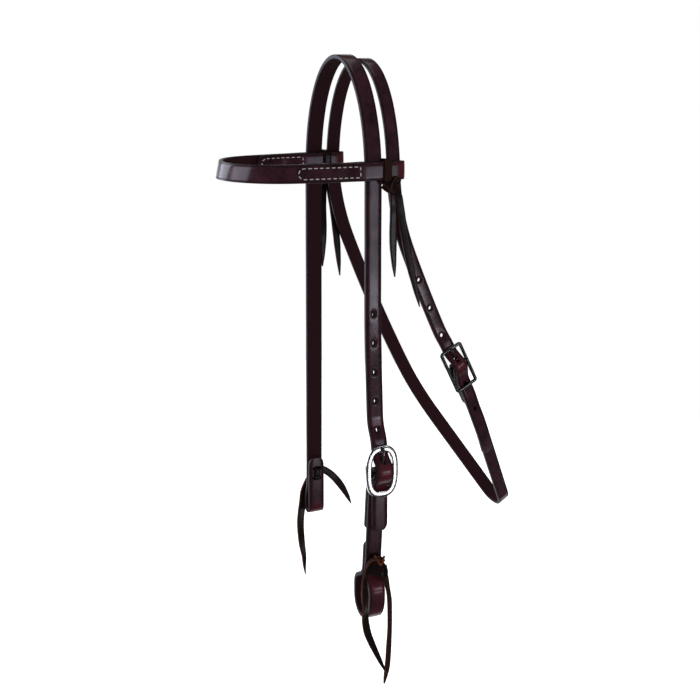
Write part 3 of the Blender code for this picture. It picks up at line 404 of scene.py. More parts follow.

# Leather looks: linear colours, then roughness, pores per metre, coat and specular level. The
# hole colour is painted shade for holes, their pressed rims, crease grooves and edges by a bar
strap_look = dict(
    dark=(0.0145, 0.0044, 0.0078), light=(0.0450, 0.0118, 0.0200),
    flesh=(0.0190, 0.0050, 0.0072), edge=(0.0110, 0.0064, 0.0090),
    bent=(0.1050, 0.0110, 0.0170), hole=(0.0110, 0.0045, 0.0040),
    roughness=0.35, grain=1500.0, coat=0.75, specular=0.1)
lace_look = dict(
    dark=(0.0038, 0.0026, 0.0028), light=(0.0100, 0.0050, 0.0050),
    flesh=(0.0180, 0.0065, 0.0045), edge=(0.1500, 0.0340, 0.0100),
    bent=(0.0160, 0.0050, 0.0042), hole=(0.0100, 0.0040, 0.0030),
    roughness=0.45, grain=2100.0, coat=0.3, specular=0.08)
coat_roughness = 0.17
stainless_look = dict(
    colour=(0.80, 0.80, 0.81), tarnish=(0.66, 0.66, 0.68), roughness=0.07, scratches=0.08)
dark_steel_look = dict(
    colour=(0.17, 0.18, 0.175), tarnish=(0.10, 0.11, 0.105), roughness=0.14, scratches=0.12)
thread_pale = (0.62, 0.60, 0.56)
thread_soiled = (0.34, 0.31, 0.28)
thread_shade = (0.20, 0.18, 0.16)
floor_dark = (0.88, 0.88, 0.88)
floor_pale = (0.92, 0.92, 0.92)


class Route:
    """A line in a plane, drawn from straight runs and arcs; a positive angle turns left."""

    def __init__(self, u, v, heading):
        self.points = [Vector((u, v))]
        self.headings = [heading]
        self.heading = heading

    def straight(self, length, steps=1):
        start = self.points[-1]
        way = Vector((math.cos(self.heading), math.sin(self.heading)))
        for step in range(1, steps + 1):
            self.points.append(start + way * (length * step / steps))
            self.headings.append(self.heading)
        return self

    def turn(self, radius, angle):
        start = self.points[-1]
        side = math.copysign(1, angle)
        left = Vector((-math.sin(self.heading), math.cos(self.heading)))
        centre = start + left * (side * radius)
        steps = max(2, math.ceil(abs(angle) / arc_step))
        for step in range(1, steps + 1):
            turned = Matrix.Rotation(angle * step / steps, 2)
            self.points.append(centre + turned @ (start - centre))
            self.headings.append(self.heading + angle * step / steps)
        self.heading += angle
        return self

    def shift(self, offset, run):
        """Moves sideways over a run with two equal arcs; left is positive."""
        if abs(offset) < clearance * arc_step:
            return self.straight(run)
        angle = 2 * math.atan2(abs(offset), run)
        radius = run / (2 * math.sin(angle))
        side = math.copysign(1, offset)
        return self.turn(radius, side * angle).turn(radius, -side * angle)

    def straight_to_v(self, v):
        return self.straight((v - self.points[-1].y) / math.sin(self.heading))


class Station:
    """One cross-section of a strap: its centre, the direction across it and its width share."""

    def __init__(self, centre, across, share=1):
        self.centre = Vector(centre)
        self.across = Vector(across).normalized()
        self.share = share


class Buckle:
    """Sizes of a centre-bar buckle and of the two straps that it joins.

    Places are given as (outward, up) from the bar's centre, in the plane across the bar.
    """

    def __init__(self, bar_diameter, bar_setback, rail_depth, tongue_diameter, billet, fold,
                 ease_radius, lower_angle):
        self.lower_angle = lower_angle
        self.bar_radius = bar_diameter / 2
        self.rail_plane = bar_setback
        self.tongue_radius = tongue_diameter / 2
        self.fold_radius = self.bar_radius + clearance + fold / 2
        self.billet_radius = self.fold_radius + fold / 2 + clearance + billet / 2
        self.ease_radius = ease_radius
        self.rail_depth = rail_depth
        self.rail_back = self.rail_plane - rail_depth / 2
        self.rail_front = self.rail_plane + rail_depth / 2
        self.billet_rest = self.rail_back - clearance - billet / 2
        self.main_rest = self.billet_rest - billet / 2 - clearance - fold / 2
        self.fold_rest = self.main_rest - fold - clearance
        self.eye_radius = self.bar_radius + clearance + self.tongue_radius

    def down_from_bar(self, radius, rest, angle):
        """The outer half of a strap over the bar, from the bar's level down to its rest plane.

        The route starts at (radius, 0), heads down and slants in by the angle.
        """
        ease = self.ease_radius + self.billet_radius - radius
        depth = radius * math.cos(angle) - ease * (1 - math.cos(angle)) - rest
        route = Route(radius, 0, -90 * DEG)
        route.turn(radius, -angle)
        route.straight(depth / math.sin(angle))
        return route.turn(ease, angle)

    def fold_under_bar(self):
        """The inner half of the folded strap, from the bar's level down behind the main run."""
        route = Route(-self.fold_radius, 0, -90 * DEG)
        offset = -self.fold_radius - self.fold_rest
        angle = fold_angle
        radius = self.ease_radius
        slant = (offset - 2 * radius * (1 - math.cos(angle))) / math.sin(angle)
        route.turn(radius, -angle).straight(slant)
        return route.turn(radius, angle)

    def over_bar(self):
        """Half a turn of the folded strap over the top of the bar, from inside to outside."""
        route = Route(-self.fold_radius, 0, 90 * DEG)
        return route.turn(self.fold_radius, -180 * DEG)

    def fold_main(self):
        """The outer run of the folded strap, from the bar's level down."""
        return self.down_from_bar(self.fold_radius, self.main_rest, self.lower_angle)

    def billet_halves(self):
        """The billet below the bar, and its way up over it to rest behind the top rail."""
        lower = self.down_from_bar(self.billet_radius, self.billet_rest, self.lower_angle)
        rising = self.down_from_bar(self.billet_radius, self.billet_rest, wrap_angle)
        return lower, [Vector((point.x, -point.y)) for point in rising.points]


cheek_buckle = Buckle(cheek_bar_diameter, cheek_bar_setback, cheek_rail_depth,
                      cheek_tongue_diameter, crown_thickness, cheek_thickness,
                      cheek_bar_diameter + cheek_ease_extra, cheek_lower_angle)
throat_buckle = Buckle(throat_bar_diameter, throat_bar_setback, throat_rail_depth,
                       throat_tongue_diameter, throat_thickness, throat_thickness,
                       throat_bar_diameter + throat_ease_extra, throat_lower_angle)


def eased_share(distance, run):
    """A smooth step from 0 to 1 over a run."""
    share = min(max(distance / run, 0), 1)
    return 0.5 - 0.5 * math.cos(math.pi * share)


def near_leg_set_back(up):
    """How far the near leg hangs behind upright at a level."""
    top = cheek_set_back_run - cheek_buckle_drop
    return cheek_set_back * eased_share(top - up, cheek_set_back_run)


def off_leg_set_forward(up):
    """How far the off leg hangs before upright at a level."""
    top = off_set_forward_run - off_fold_drop
    return off_set_forward * eased_share(top - up, off_set_forward_run)


def crown_station(point):
    """A station of the crown strap from its (Y, up); each leg hangs a little off upright."""
    set_back = near_leg_set_back(point.y) if point.x < 0 else -off_leg_set_forward(point.y)
    return Station((set_back, point.x, point.y), ACROSS)


def arch_points(half_width, top, rise, steps=150):
    """Half an ellipse from the near side over the poll to the off side."""
    points = []
    for step in range(steps + 1):
        angle = math.pi * step / steps
        points.append(Vector((-half_width * math.cos(angle),
                              top - rise + rise * math.sin(angle))))
    return points


def billet_points(buckle, ease_length):
    """The billet from its tip up over the bar, ending at rest behind the frame's top rail."""
    lower, upper = buckle.billet_halves()
    lower.straight_to_v(-ease_length)
    return lower.points[::-1] + upper[1:]


def crown_leg_route(start):
    """The near leg in (outward, up) from the cheek buckle to where the arch begins."""
    route = Route(start.x, start.y, 90 * DEG)
    route.shift(start.x - leg_plane, crown_ease_run)
    route.straight(cheek_set_back_run - crown_ease_run, 7)
    return route.straight_to_v(crown_thickness / 2 - crown_arch_rise)


def off_loop_route():
    """The off leg in (outward, up): down, round the bit and up behind itself."""
    route = Route(leg_plane, crown_thickness / 2 - crown_arch_rise, -90 * DEG)
    route.straight_to_v(-off_neck_drop)
    layer = crown_thickness + clearance
    opening = off_loop_gap + crown_thickness
    corner = off_loop_corner_radius
    route.shift(opening - layer, (off_loop_drop - off_neck_drop) / 2)
    route.straight_to_v(-off_loop_drop + corner)
    route.turn(corner, -90 * DEG).straight(opening - 2 * corner)
    route.turn(corner, -90 * DEG)
    return route.straight_to_v(-off_fold_drop)


def off_tie_spot(across):
    """The middle of the off bit tie's slots, at this Y."""
    return Vector((-off_leg_set_forward(-off_tie_drop), across, -off_tie_drop))


def tongue_crossing(buckle):
    """Where the tongue's shank meets the billet's middle, as (outward, up) from the bar."""
    slant = buckle.billet_radius * math.cos(wrap_angle) - buckle.eye_radius
    run = slant / math.sin(wrap_angle)
    up = buckle.billet_radius * math.sin(wrap_angle) + run * math.cos(wrap_angle)
    return Vector((buckle.eye_radius, up)), run


def tongue_hole_rise(buckle):
    """Length along the billet from the bar's level up to the hole that the tongue is in."""
    return buckle.billet_radius * wrap_angle + tongue_crossing(buckle)[1]


def tongue_hole_distance(buckle, billet_length):
    """Length along the billet from its tip to the hole that the tongue is in."""
    lower = billet_points(buckle, billet_length)
    level = min(range(len(lower)), key=lambda index: abs(lower[index].y))
    below = sum((after - before).length
                for before, after in zip(lower[:level], lower[1:level + 1]))
    return below + tongue_hole_rise(buckle)


def tongue_hole(buckle, bar, turn, width, length, depth):
    """The hole round the tongue, pulled along its shank as worn leather is."""
    crossing, _ = tongue_crossing(buckle)
    centre = bar + turn @ Vector((0, -crossing.x, crossing.y))
    through = turn @ Vector((0, -math.sin(punch_tilt), math.cos(punch_tilt)))
    along = turn @ Vector((0, math.cos(punch_tilt), math.sin(punch_tilt)))
    return (centre, through, along, width, length, depth)


def cheek_route():
    """The cheek piece in (outward, up) about its bar, from the inner fold to the lower fold."""
    buckle = cheek_buckle
    layer = cheek_thickness + clearance
    inner = buckle.fold_under_bar()
    inner.straight_to_v(-cheek_fold_length)
    points = inner.points[::-1] + buckle.over_bar().points[1:]
    main = buckle.fold_main()
    main.straight_to_v(cheek_buckle_drop - near_neck_drop)
    main.shift(near_loop_outset, near_loop_front_ease)
    bend_start = cheek_buckle_drop - near_loop_drop + near_loop_bend_height
    main.straight_to_v(bend_start)
    points += main.points[1:]
    half_width = near_loop_width / 2
    widest = points[-1]
    for step in range(1, near_loop_bend_count + 1):
        angle = math.pi * step / near_loop_bend_count
        points.append(Vector((widest.x - half_width * (1 - math.cos(angle)),
                              bend_start - near_loop_bend_height * math.sin(angle))))
    back = Route(points[-1].x, points[-1].y, 90 * DEG)
    back.straight_to_v(cheek_buckle_drop - near_back_neck_drop - near_loop_back_ease)
    back.shift(points[-1].x - (buckle.main_rest - layer), near_loop_back_ease)
    back.straight_to_v(cheek_buckle_drop - near_fold_drop)
    return points + back.points[1:]


def cheek_lean(up):
    """How far back of its bar's middle the cheek piece hangs at a level below the bar."""
    run = near_neck_drop - cheek_buckle_drop
    return near_loop_forward * max(min(up / run, 0), -1)


def cheek_place(outward, up):
    """A place on the cheek piece from its (outward, up) about the bar."""
    return cheek_bar + Vector((cheek_lean(up), -outward, up))


def superellipse(angle, power):
    """A point of a rounded square between -1 and 1; a higher power is squarer."""
    return [math.copysign(abs(value) ** (2 / power), value)
            for value in (math.cos(angle), math.sin(angle))]


def oval_points(half_width, half_height, power, steps=132):
    """A superellipse in the plane of a buckle's frame."""
    points = []
    for step in range(steps):
        side, level = superellipse(2 * math.pi * (step + 0.5) / steps, power)
        points.append(Vector((side * half_width, 0, level * half_height)))
    return points


def corner_points(half_width, half_height, radius, steps=9):
    """A rectangle with round corners in the plane of a buckle's frame."""
    points = []
    for quarter, (side, level) in enumerate(((1, 1), (-1, 1), (-1, -1), (1, -1))):
        for step in range(steps + 1):
            angle = (quarter + step / steps) * math.pi / 2
            points.append(Vector((side * (half_width - radius) + radius * math.cos(angle), 0,
                                  level * (half_height - radius) + radius * math.sin(angle))))
    return points


def band_gap(share):
    """Distance between the browband's two layers: 1 round the straps, 0 where they are sewn."""
    sewn = band_thickness + clearance
    return sewn + (crown_thickness + clearance + band_slack) * share


def band_half_route():
    """The middle line between the layers, from the near loop's rear to the forehead."""
    rear = throat_set_back + throat_width / 2 - band_turn_nest
    front = -crown_width / 2 - band_thickness
    route = Route(rear, -leg_plane + band_slack / 2, 180 * DEG)
    route.straight(rear - front, 9).straight(band_merge_length, 5)
    route.turn(band_ease_radius, -band_ease_angle).straight(band_reach, 2)
    route.turn(band_side_radius, -band_side_angle)
    left = -route.points[-1].y
    heading = route.heading - 90 * DEG
    return route.turn(left / math.cos(90 * DEG - heading), -heading)


def band_layers(fold_length):
    """Outer and inner stations of the near half, from the loop's rear to the forehead."""
    route = band_half_route()
    merge_start = route.points[0].x + crown_width / 2 + band_thickness
    outer, inner = [], []
    travelled = 0
    total = sum((b - a).length for a, b in zip(route.points, route.points[1:]))
    for index, (point, heading) in enumerate(zip(route.points, route.headings)):
        if index:
            travelled += (point - route.points[index - 1]).length
        merged = min(1, max(0, (travelled - merge_start) / band_merge_length))
        gap = band_gap(0.5 + 0.5 * math.cos(math.pi * merged))
        inward = Vector((math.sin(heading), -math.cos(heading), 0))
        middle = Vector((point.x, point.y, -band_height))
        leaning = max(0, (travelled - near_band_fold_length) / (total - near_band_fold_length))
        lean = band_front_lean * (0.5 - 0.5 * math.cos(math.pi * leaning))
        across = UP * math.cos(lean) + inward * math.sin(lean)
        outer.append(Station(middle - inward * (gap / 2), across))
        if travelled <= fold_length:
            inner.append(Station(middle + inward * (gap / 2), across))
    return outer, inner, Vector((route.points[0].x, route.points[0].y, -band_height))


def mirrored(stations):
    """The same stations on the other side of the head."""
    return [Station((s.centre.x, -s.centre.y, s.centre.z),
                    (s.across.x, -s.across.y, s.across.z), s.share) for s in stations]


def lean_back(run):
    """Set-back, drop and lean of the throatlatch at a run below the start of its lean."""
    set_back, drop, lean = 0, 0, 0
    for length, angle in ((throat_first_lean_run, throat_first_lean),
                          (throat_second_lean_run, throat_second_lean)):
        radius = length / angle
        part = min(max(run, 0), length) / length * angle
        set_back += radius * (math.cos(lean) - math.cos(lean + part))
        drop += radius * (math.sin(lean + part) - math.sin(lean))
        lean += part
        run -= length
    beyond = max(run, 0)
    return set_back + beyond * math.sin(lean), drop + beyond * math.cos(lean), lean


def throat_place(outward, up):
    """A station of the throatlatch, from its (outward, up) along its own leaning face."""
    run = -throat_lean_start - up
    if run <= 0:
        return Station((throat_set_back, -outward, up), ACROSS)
    set_back, drop, lean = lean_back(run)
    centre = (throat_set_back + set_back, -outward, -throat_lean_start - drop)
    return Station(centre, (math.cos(lean), 0, math.sin(lean)))


def throat_bar_out():
    """How far out of the head's middle the throatlatch buckle's bar is."""
    return leg_plane - throat_buckle.main_rest


def hanging_end(points, ease_level, end_level):
    """Leads a strap's end down beside the throatlatch, and inward with it to its end."""
    route = Route(points[-1].x, points[-1].y, -90 * DEG)
    route.straight_to_v(ease_level)
    radius = throat_ease_radius + route.points[-1].x - leg_plane
    route.turn(radius, (end_level - ease_level) / radius)
    return points + route.points[1:]


def throat_points():
    """The throatlatch in (outward, up): buckle fold, throat, off side, poll and billet."""
    buckle = throat_buckle
    bar = Vector((throat_bar_out(), -throat_buckle_drop))
    main = buckle.fold_main()
    closing = 90 * DEG - throat_inward
    eased = throat_ease_radius * (1 - math.cos(throat_inward))
    slant = leg_plane - eased - throat_bottom_radius * math.sin(closing)
    slant /= math.sin(throat_inward)
    depth = (throat_ease_radius * math.sin(throat_inward) + slant * math.cos(throat_inward)
             + throat_bottom_radius * (1 - math.cos(closing)))
    ease_level = depth - throat_bottom_drop
    inner = [bar + p for p in buckle.fold_under_bar().points]
    points = hanging_end(inner, ease_level, bar.y - throat_fold_length)[::-1]
    points += [bar + p for p in buckle.over_bar().points[1:] + main.points[1:]]
    loop = Route(points[-1].x, points[-1].y, -90 * DEG)
    loop.straight_to_v(ease_level)
    loop.turn(throat_ease_radius, -throat_inward).straight(slant)
    loop.turn(throat_bottom_radius, -closing).turn(throat_bottom_radius, -closing)
    loop.straight(slant).turn(throat_ease_radius, -throat_inward)
    arch_top = throat_thickness / 2 - throat_arch_drop
    loop.straight_to_v(arch_top - throat_arch_rise)
    points += loop.points[1:]
    points += arch_points(leg_plane, arch_top, throat_arch_rise)[1:]
    leg = Route(points[-1].x, points[-1].y, -90 * DEG)
    lower, upper = buckle.billet_halves()
    leg.straight_to_v(bar.y + upper[-1].y + throat_ease_run)
    leg.shift(bar.x + upper[-1].x - leg_plane, throat_ease_run)
    points += leg.points[1:] + [bar + p for p in upper[-2::-1]]
    billet = [bar + p for p in lower.points]
    return points + hanging_end(billet, ease_level, bar.y - throat_billet_length)[1:]


def throat_bar_place():
    """The bar's centre, and the turn from the buckle's own axes to the head's."""
    station = throat_place(throat_bar_out(), -throat_buckle_drop)
    lean = math.atan2(station.across.z, station.across.x)
    return station.centre, Matrix.Rotation(-lean, 3, 'Y')


def smooth_line(points, steps=4):
    """A curve through its points."""
    result = [points[0]]
    for index in range(len(points) - 1):
        before = points[max(index - 1, 0)]
        start, end = points[index], points[index + 1]
        after = points[min(index + 2, len(points) - 1)]
        for step in range(1, steps + 1):
            t = step / steps
            way_in, way_out = (end - before) / 2, (after - start) / 2
            result.append(start * (2 * t ** 3 - 3 * t ** 2 + 1)
                          + way_in * (t ** 3 - 2 * t ** 2 + t)
                          + end * (3 * t ** 2 - 2 * t ** 3) + way_out * (t ** 3 - t ** 2))
    return result


class TieFrame:
    """Places a tie's points, given as (back, outward, up) from a spot on one side's straps."""

    def __init__(self, origin, side):
        self.origin = origin
        self.side = side

    def point(self, back, outward, up):
        return self.origin + Vector((back, self.side * outward, up))

    def way(self, back, outward, up):
        return Vector((back, self.side * outward, up))


def along_line(points):
    """Distances from the start of a line to each of its points."""
    steps = np.linalg.norm(np.diff(points, axis=0), axis=1)
    return np.concatenate([[0], np.cumsum(steps)])


def sampled(values, distances, wanted):
    """Rows of values, read off at wanted distances."""
    return np.stack([np.interp(wanted, distances, values[:, k])
                     for k in range(values.shape[1])], 1)


def unit(vectors):
    """Vectors of length 1 in the same directions."""
    return vectors / np.linalg.norm(vectors, axis=-1, keepdims=True)


def smoothed(values, rounds):
    """Rows of values, each averaged with its neighbours."""
    for _ in range(rounds):
        inner = (values[:-2] + 2 * values[1:-1] + values[2:]) / 4
        values = np.concatenate([values[:1], inner, values[-1:]])
    return values


class Path:
    """A strap's centre line with even rings: place, way along, way across and way out."""

    def __init__(self, stations, step, extra=(), grain=1, rounds=2):
        centres = np.array([s.centre for s in stations], float)
        ways = np.array([s.across for s in stations], float)
        shares = np.array([[s.share] for s in stations], float)
        steps = np.linalg.norm(np.diff(centres, axis=0), axis=1)
        keep = np.concatenate([[True], steps > least_step])
        centres, ways, shares = centres[keep], ways[keep], shares[keep]
        run = along_line(centres)
        self.length = run[-1]
        wanted = np.concatenate([np.linspace(0, self.length, math.ceil(self.length / step) + 1),
                                 [d for d in extra if 0 < d < self.length]])
        wanted = np.unique(wanted)
        gaps = np.concatenate([[1], np.diff(wanted)])
        wanted = wanted[gaps > ring_gap]
        wanted[-1] = self.length
        self.at = wanted
        self.centres = smoothed(sampled(centres, run, wanted), rounds)
        self.share = sampled(shares, run, wanted)[:, 0]
        self.along = smoothed(unit(np.gradient(self.centres, self.at, axis=0)), rounds)
        self.along = unit(self.along)
        ways = sampled(ways, run, wanted)
        ways -= self.along * np.sum(ways * self.along, 1, keepdims=True)
        self.across = unit(ways)
        self.out = grain * np.cross(self.along, self.across)
        turning = np.gradient(self.along, self.at, axis=0)
        self.curve = -np.sum(turning * self.out, 1)

    def place(self, distance, aside=0.0, outward=0.0):
        """A point at a distance along the strap, off its middle, and its ways along and out."""
        wanted = np.array([distance])
        centre = sampled(self.centres, self.at, wanted)[0]
        along, across, out = (unit(sampled(ways, self.at, wanted))[0]
                              for ways in (self.along, self.across, self.out))
        return centre + across * aside + out * outward, along, out


def rounded_share(distance, length):
    """Width share of a rounded strap end at a distance from its tip."""
    part = np.clip(distance / length, 0, 1)
    rounding = (1 - (1 - part) ** tip_roundness) ** tip_fullness
    return strap_tip_share + (1 - strap_tip_share) * rounding


def ripple(at, share, length, phase=0):
    """A small wave along a strap, as a share of the size that it varies; length in mm."""
    return share * np.sin(at / (length * MM) + phase)


def edge_point(flat, thick, radius, side, degrees, marks):
    """A point of a rounded edge; side is -1 by the flesh and 1 by the grain."""
    return (flat + radius * math.cos(degrees * DEG),
            side * (thick / 2 - radius) + radius * math.sin(degrees * DEG), marks)


def both_sides(right):
    """A whole ring from its right half, which starts and ends in the middle."""
    return right + [(-u, v, marks) for u, v, marks in right[-2:0:-1]]


def leather_section(half, thick, radius, crease, depth):
    """Ring points of a strap: u, v and their marks (edge, flesh, painted shade in the groove)."""
    flat = half - radius
    inner = half - crease - crease_rows[-1][0] * MM
    right = [(flat * part, -thick / 2, (0, 1, 0)) for part in flesh_shares]
    right += [edge_point(flat, thick, radius, -1, degrees, (1, 0.25, 0))
              for degrees in flesh_edge_degrees]
    right += [edge_point(flat, thick, radius, 1, degrees, (mark, 0, 0))
              for degrees, mark in grain_edge_marks]
    # The crease groove gets painted shade by its third mark
    right += [(half - crease - offset * MM, thick / 2 - depth * share, (0, 0, groove_shade))
              for offset, share, groove_shade in crease_rows]
    right += [(inner * part, thick / 2 + rise * MM, (0, 0, 0)) for part, rise in crown_rows]
    return both_sides(right)


def lace_section(half, thick, radius, raw):
    """Ring points of a lace cut from thin leather: sharp edges, raw by this share."""
    flat = half - radius
    right = [(flat * part, -thick / 2, (0, 1, 0)) for part in (0, 0.5, 1)]
    for side, degrees, share in ((-1, -45, 1), (-1, 0, 1), (1, 0, 1), (1, 45, 1), (1, 90, 0.4)):
        right.append(edge_point(flat, thick, radius, side, degrees, (raw * share, 0, 0)))
    right += [(flat * part, thick / 2 + lace_crown, (0, 0, 0)) for part in (0.6, 0.3, 0)]
    return both_sides(right)


def round_section(half, thick, power, count):
    """Ring points of a cushion-shaped bar."""
    ring = []
    for step in range(count):
        side, level = superellipse(2 * math.pi * step / count, power)
        ring.append((half * side, thick / 2 * level, (0, 0, 0)))
    return ring


def ring_mesh(centres, across, out, ring, at, bend, closed):
    """Vertices, faces, face uv and look values of rings joined along a line."""
    count, sides = len(centres), len(ring)
    u = np.stack([np.broadcast_to(point[0], (count,)) for point in ring], 1)
    v = np.stack([np.broadcast_to(point[1], (count,)) for point in ring], 1)
    verts = (centres[:, None] + across[:, None] * u[..., None] + out[:, None] * v[..., None])
    look = np.zeros((count, sides, 4))
    # The marks fill the look's edge, flesh and painted-shade values; the bend fills the third
    look[:, :, [0, 1, 3]] = [marks for _, _, marks in ring]
    look[:, :, 2] = bend[:, None]
    i = np.arange(count if closed else count - 1)[:, None]
    j = np.arange(sides)[None]
    following, side = (i + 1) % count, (j + 1) % sides
    quads = np.stack([i * sides + j, i * sides + side, following * sides + side,
                      following * sides + j], -1)
    middle = len(at) // 2
    profile = np.stack([u[middle], v[middle]], 1)
    girth = along_line(np.concatenate([profile, profile[:1]]))
    steps = np.concatenate([at, [2 * at[-1] - at[-2]]])
    uv = np.stack([np.stack(np.broadcast_arrays(girth[a], steps[b]), -1)
                   for a, b in ((j, i), (j + 1, i), (j + 1, i + 1), (j, i + 1))], 2)
    return verts.reshape(-1, 3), quads.reshape(-1, 4), uv.reshape(-1, 4, 2), look.reshape(-1, 4)


def volume(verts, faces):
    """Six times the volume of quads, below 0 where they face inwards."""
    a, b, c, d = (verts[faces[:, k]] for k in range(4))
    return np.sum(np.cross(a, b) * c) + np.sum(np.cross(a, c) * d)


class Shell:
    """Closed surfaces gathered for one object."""

    def __init__(self):
        self.verts, self.faces, self.uv, self.look = [], [], [], []

    def add(self, centres, across, out, ring, at=None, bend=None, closed=False):
        at = along_line(centres) if at is None else at
        bend = np.zeros(len(centres)) if bend is None else bend
        verts, quads, uv, look = ring_mesh(centres, across, out, ring, at, bend, closed)
        flip = volume(verts, quads) < 0
        if flip:
            quads, uv = quads[:, ::-1], uv[:, ::-1]
        before = sum(len(part) for part in self.verts)
        self.faces += (quads + before).tolist()
        self.uv += uv.reshape(-1, 2).tolist()
        if not closed:
            first = np.arange(len(ring))
            last = first + len(verts) - len(ring)
            for cap in ((first, last[::-1]) if flip else (first[::-1], last)):
                self.faces.append((cap + before).tolist())
                self.uv += [[0, 0]] * len(ring)
        self.verts.append(verts)
        self.look.append(look)

    def object(self, name, material, sharp=40):
        mesh = bpy.data.meshes.new(name)
        mesh.from_pydata(np.concatenate(self.verts).tolist(), [], self.faces)
        layer = mesh.uv_layers.new(name="UVMap")
        layer.data.foreach_set("uv", np.array(self.uv, np.float32).ravel())
        look = mesh.color_attributes.new("look", 'FLOAT_COLOR', 'POINT')
        look.data.foreach_set("color", np.concatenate(self.look).astype(np.float32).ravel())
        mesh.materials.append(material)
        mesh.shade_smooth()
        mesh.set_sharp_from_angle(angle=sharp * DEG)
        piece = bpy.data.objects.new(name, mesh)
        bpy.context.scene.collection.objects.link(piece)
        return piece


def punch(piece, places, sides=28):
    """Cuts straight round or oval holes through a piece."""
    mesh = bmesh.new()
    for centre, through, along, width, length, depth in places:
        across = along.cross(through).normalized()
        rings = []
        for end in (-0.5, 0.5):
            ring = []
            for side in range(sides):
                angle = 2 * math.pi * (side + 0.5) / sides
                ring.append(mesh.verts.new(centre + across * (width / 2 * math.cos(angle))
                                           + along * (length / 2 * math.sin(angle))
                                           + through * (depth * end)))
            rings.append(ring)
        for side in range(sides):
            follow = (side + 1) % sides
            mesh.faces.new((rings[0][side], rings[0][follow], rings[1][follow], rings[1][side]))
        mesh.faces.new(rings[0])
        mesh.faces.new(rings[1])
    bmesh.ops.recalc_face_normals(mesh, faces=mesh.faces)
    carve(piece, mesh, True)


def carve(piece, mesh, round_walls):
    """Cuts a shape out of a piece; the walls that it leaves get painted shade in the look values.
    """
    data = bpy.data.meshes.new(piece.name + "_punch")
    mesh.to_mesh(data)
    mesh.free()
    data.uv_layers.new(name="UVMap")
    look = data.color_attributes.new("look", 'FLOAT_COLOR', 'POINT')
    # Painted shade on the cut walls: the look's fourth value is 1
    look.data.foreach_set("color", np.tile((0, 0, 0, 1), len(data.vertices)).astype(np.float32))
    for polygon in data.polygons:
        polygon.use_smooth = round_walls and len(polygon.vertices) == 4
    boolean(piece, data, 'DIFFERENCE')


def boolean(piece, data, operation, sharp=40):
    """Joins a mesh with a piece, or cuts it away, and keeps only the result."""
    tool = bpy.data.objects.new(piece.name + "_tool", data)
    bpy.context.scene.collection.objects.link(tool)
    modifier = piece.modifiers.new("shape", 'BOOLEAN')
    modifier.operation = operation
    modifier.solver = 'EXACT'
    modifier.object = tool
    bpy.context.view_layer.update()
    graph = bpy.context.evaluated_depsgraph_get()
    made = bpy.data.meshes.new_from_object(piece.evaluated_get(graph))
    piece.modifiers.clear()
    old = piece.data
    piece.data = made
    made.name = piece.name
    made.set_sharp_from_angle(angle=sharp * DEG)
    bpy.data.objects.remove(tool)
    bpy.data.meshes.remove(data)
    bpy.data.meshes.remove(old)


def end_insets(path, radius):
    """How far each ring of a strap is drawn in where its ends are rounded over."""
    inset = np.zeros(len(path.at))
    for distance in (path.at, path.length - path.at):
        near = np.clip(radius - distance, 0, radius)
        inset = np.maximum(inset, radius - np.sqrt(radius ** 2 - near ** 2))
    return np.minimum(inset, radius * most_inset_share)


def strap(name, stations, width, thickness, radius, material, grain, end_length, holes=(),
          crease=crease_inset, edge_shade_centre=None):
    """A leather strap with rounded burnished edges, a creased grain face and worn holes."""
    whole = along_line(np.array([s.centre for s in stations], float))[-1]
    extra = [k * radius * tip_ring_share for k in range(1, tip_ring_count + 1)]
    extra += [end_length * k / end_ring_count for k in range(1, end_ring_count)]
    extra += [whole - distance for distance in extra]
    for distance, _, hole_length in holes:
        reach = hole_length / 2 + hole_ring_reach
        extra += list(np.arange(distance - reach, distance + reach, hole_ring_step))
    path = Path(stations, ring_step, extra, grain)
    inset = end_insets(path, radius)
    share = rounded_share(path.at, end_length)
    share *= rounded_share(path.length - path.at, end_length)
    # Hand-cut leather varies a little in width and thickness
    wave = 1 + ripple(path.at, 0.004, 23) + ripple(path.at, 0.003, 9.1, 1)
    half = width / 2 * share * path.share * wave - inset
    thick = thickness * (1 + ripple(path.at, 0.006, 31, 2)) - 2 * inset
    from_end = np.minimum(path.at, path.length - path.at)
    fade = np.clip(from_end / crease_fade - crease_fade_start_share, 0, 1)
    ring = leather_section(half, thick, radius - inset * edge_inset_share, crease,
                           crease_depth * fade)
    bend = np.abs(path.curve) * thickness * strap_bend_gain - strap_bend_least
    bend = np.clip(bend, 0, 1)
    shell = Shell()
    shell.add(path.centres, path.across, path.out, ring, path.at, smoothed(bend, 6))
    verts = shell.verts[0].reshape(len(path.at), len(ring), 3)
    look = shell.look[0].reshape(len(path.at), len(ring), 4)
    for hole in holes:
        dimple(verts, look, path, ring, hole)
    if edge_shade_centre is not None:
        shade_edges_by_bar(look, path, ring, edge_shade_centre)
    return shell.object(name, material), path


def dimple(verts, look, path, ring, hole):
    """Presses the grain face in round a hole, as a drive punch and a buckle tongue leave it."""
    distance, width, length = hole
    for index, (u, _, marks) in enumerate(ring):
        if marks[0] or marks[1]:
            continue
        u = np.broadcast_to(u, path.at.shape)
        spread = np.sqrt((u / (width / 2)) ** 2 + ((path.at - distance) / (length / 2)) ** 2)
        beyond = np.maximum(spread - 1, 0) * (width + length) / 4
        depth = np.exp(-(beyond / dimple_reach) ** 2)
        verts[:, index] -= path.out * (depth * dimple_depth)[:, None]
        # Paints shade into the pressed-in ring, darkest at the hole's rim
        look[:, index, 3] = np.maximum(look[:, index, 3], depth * dimple_shade)


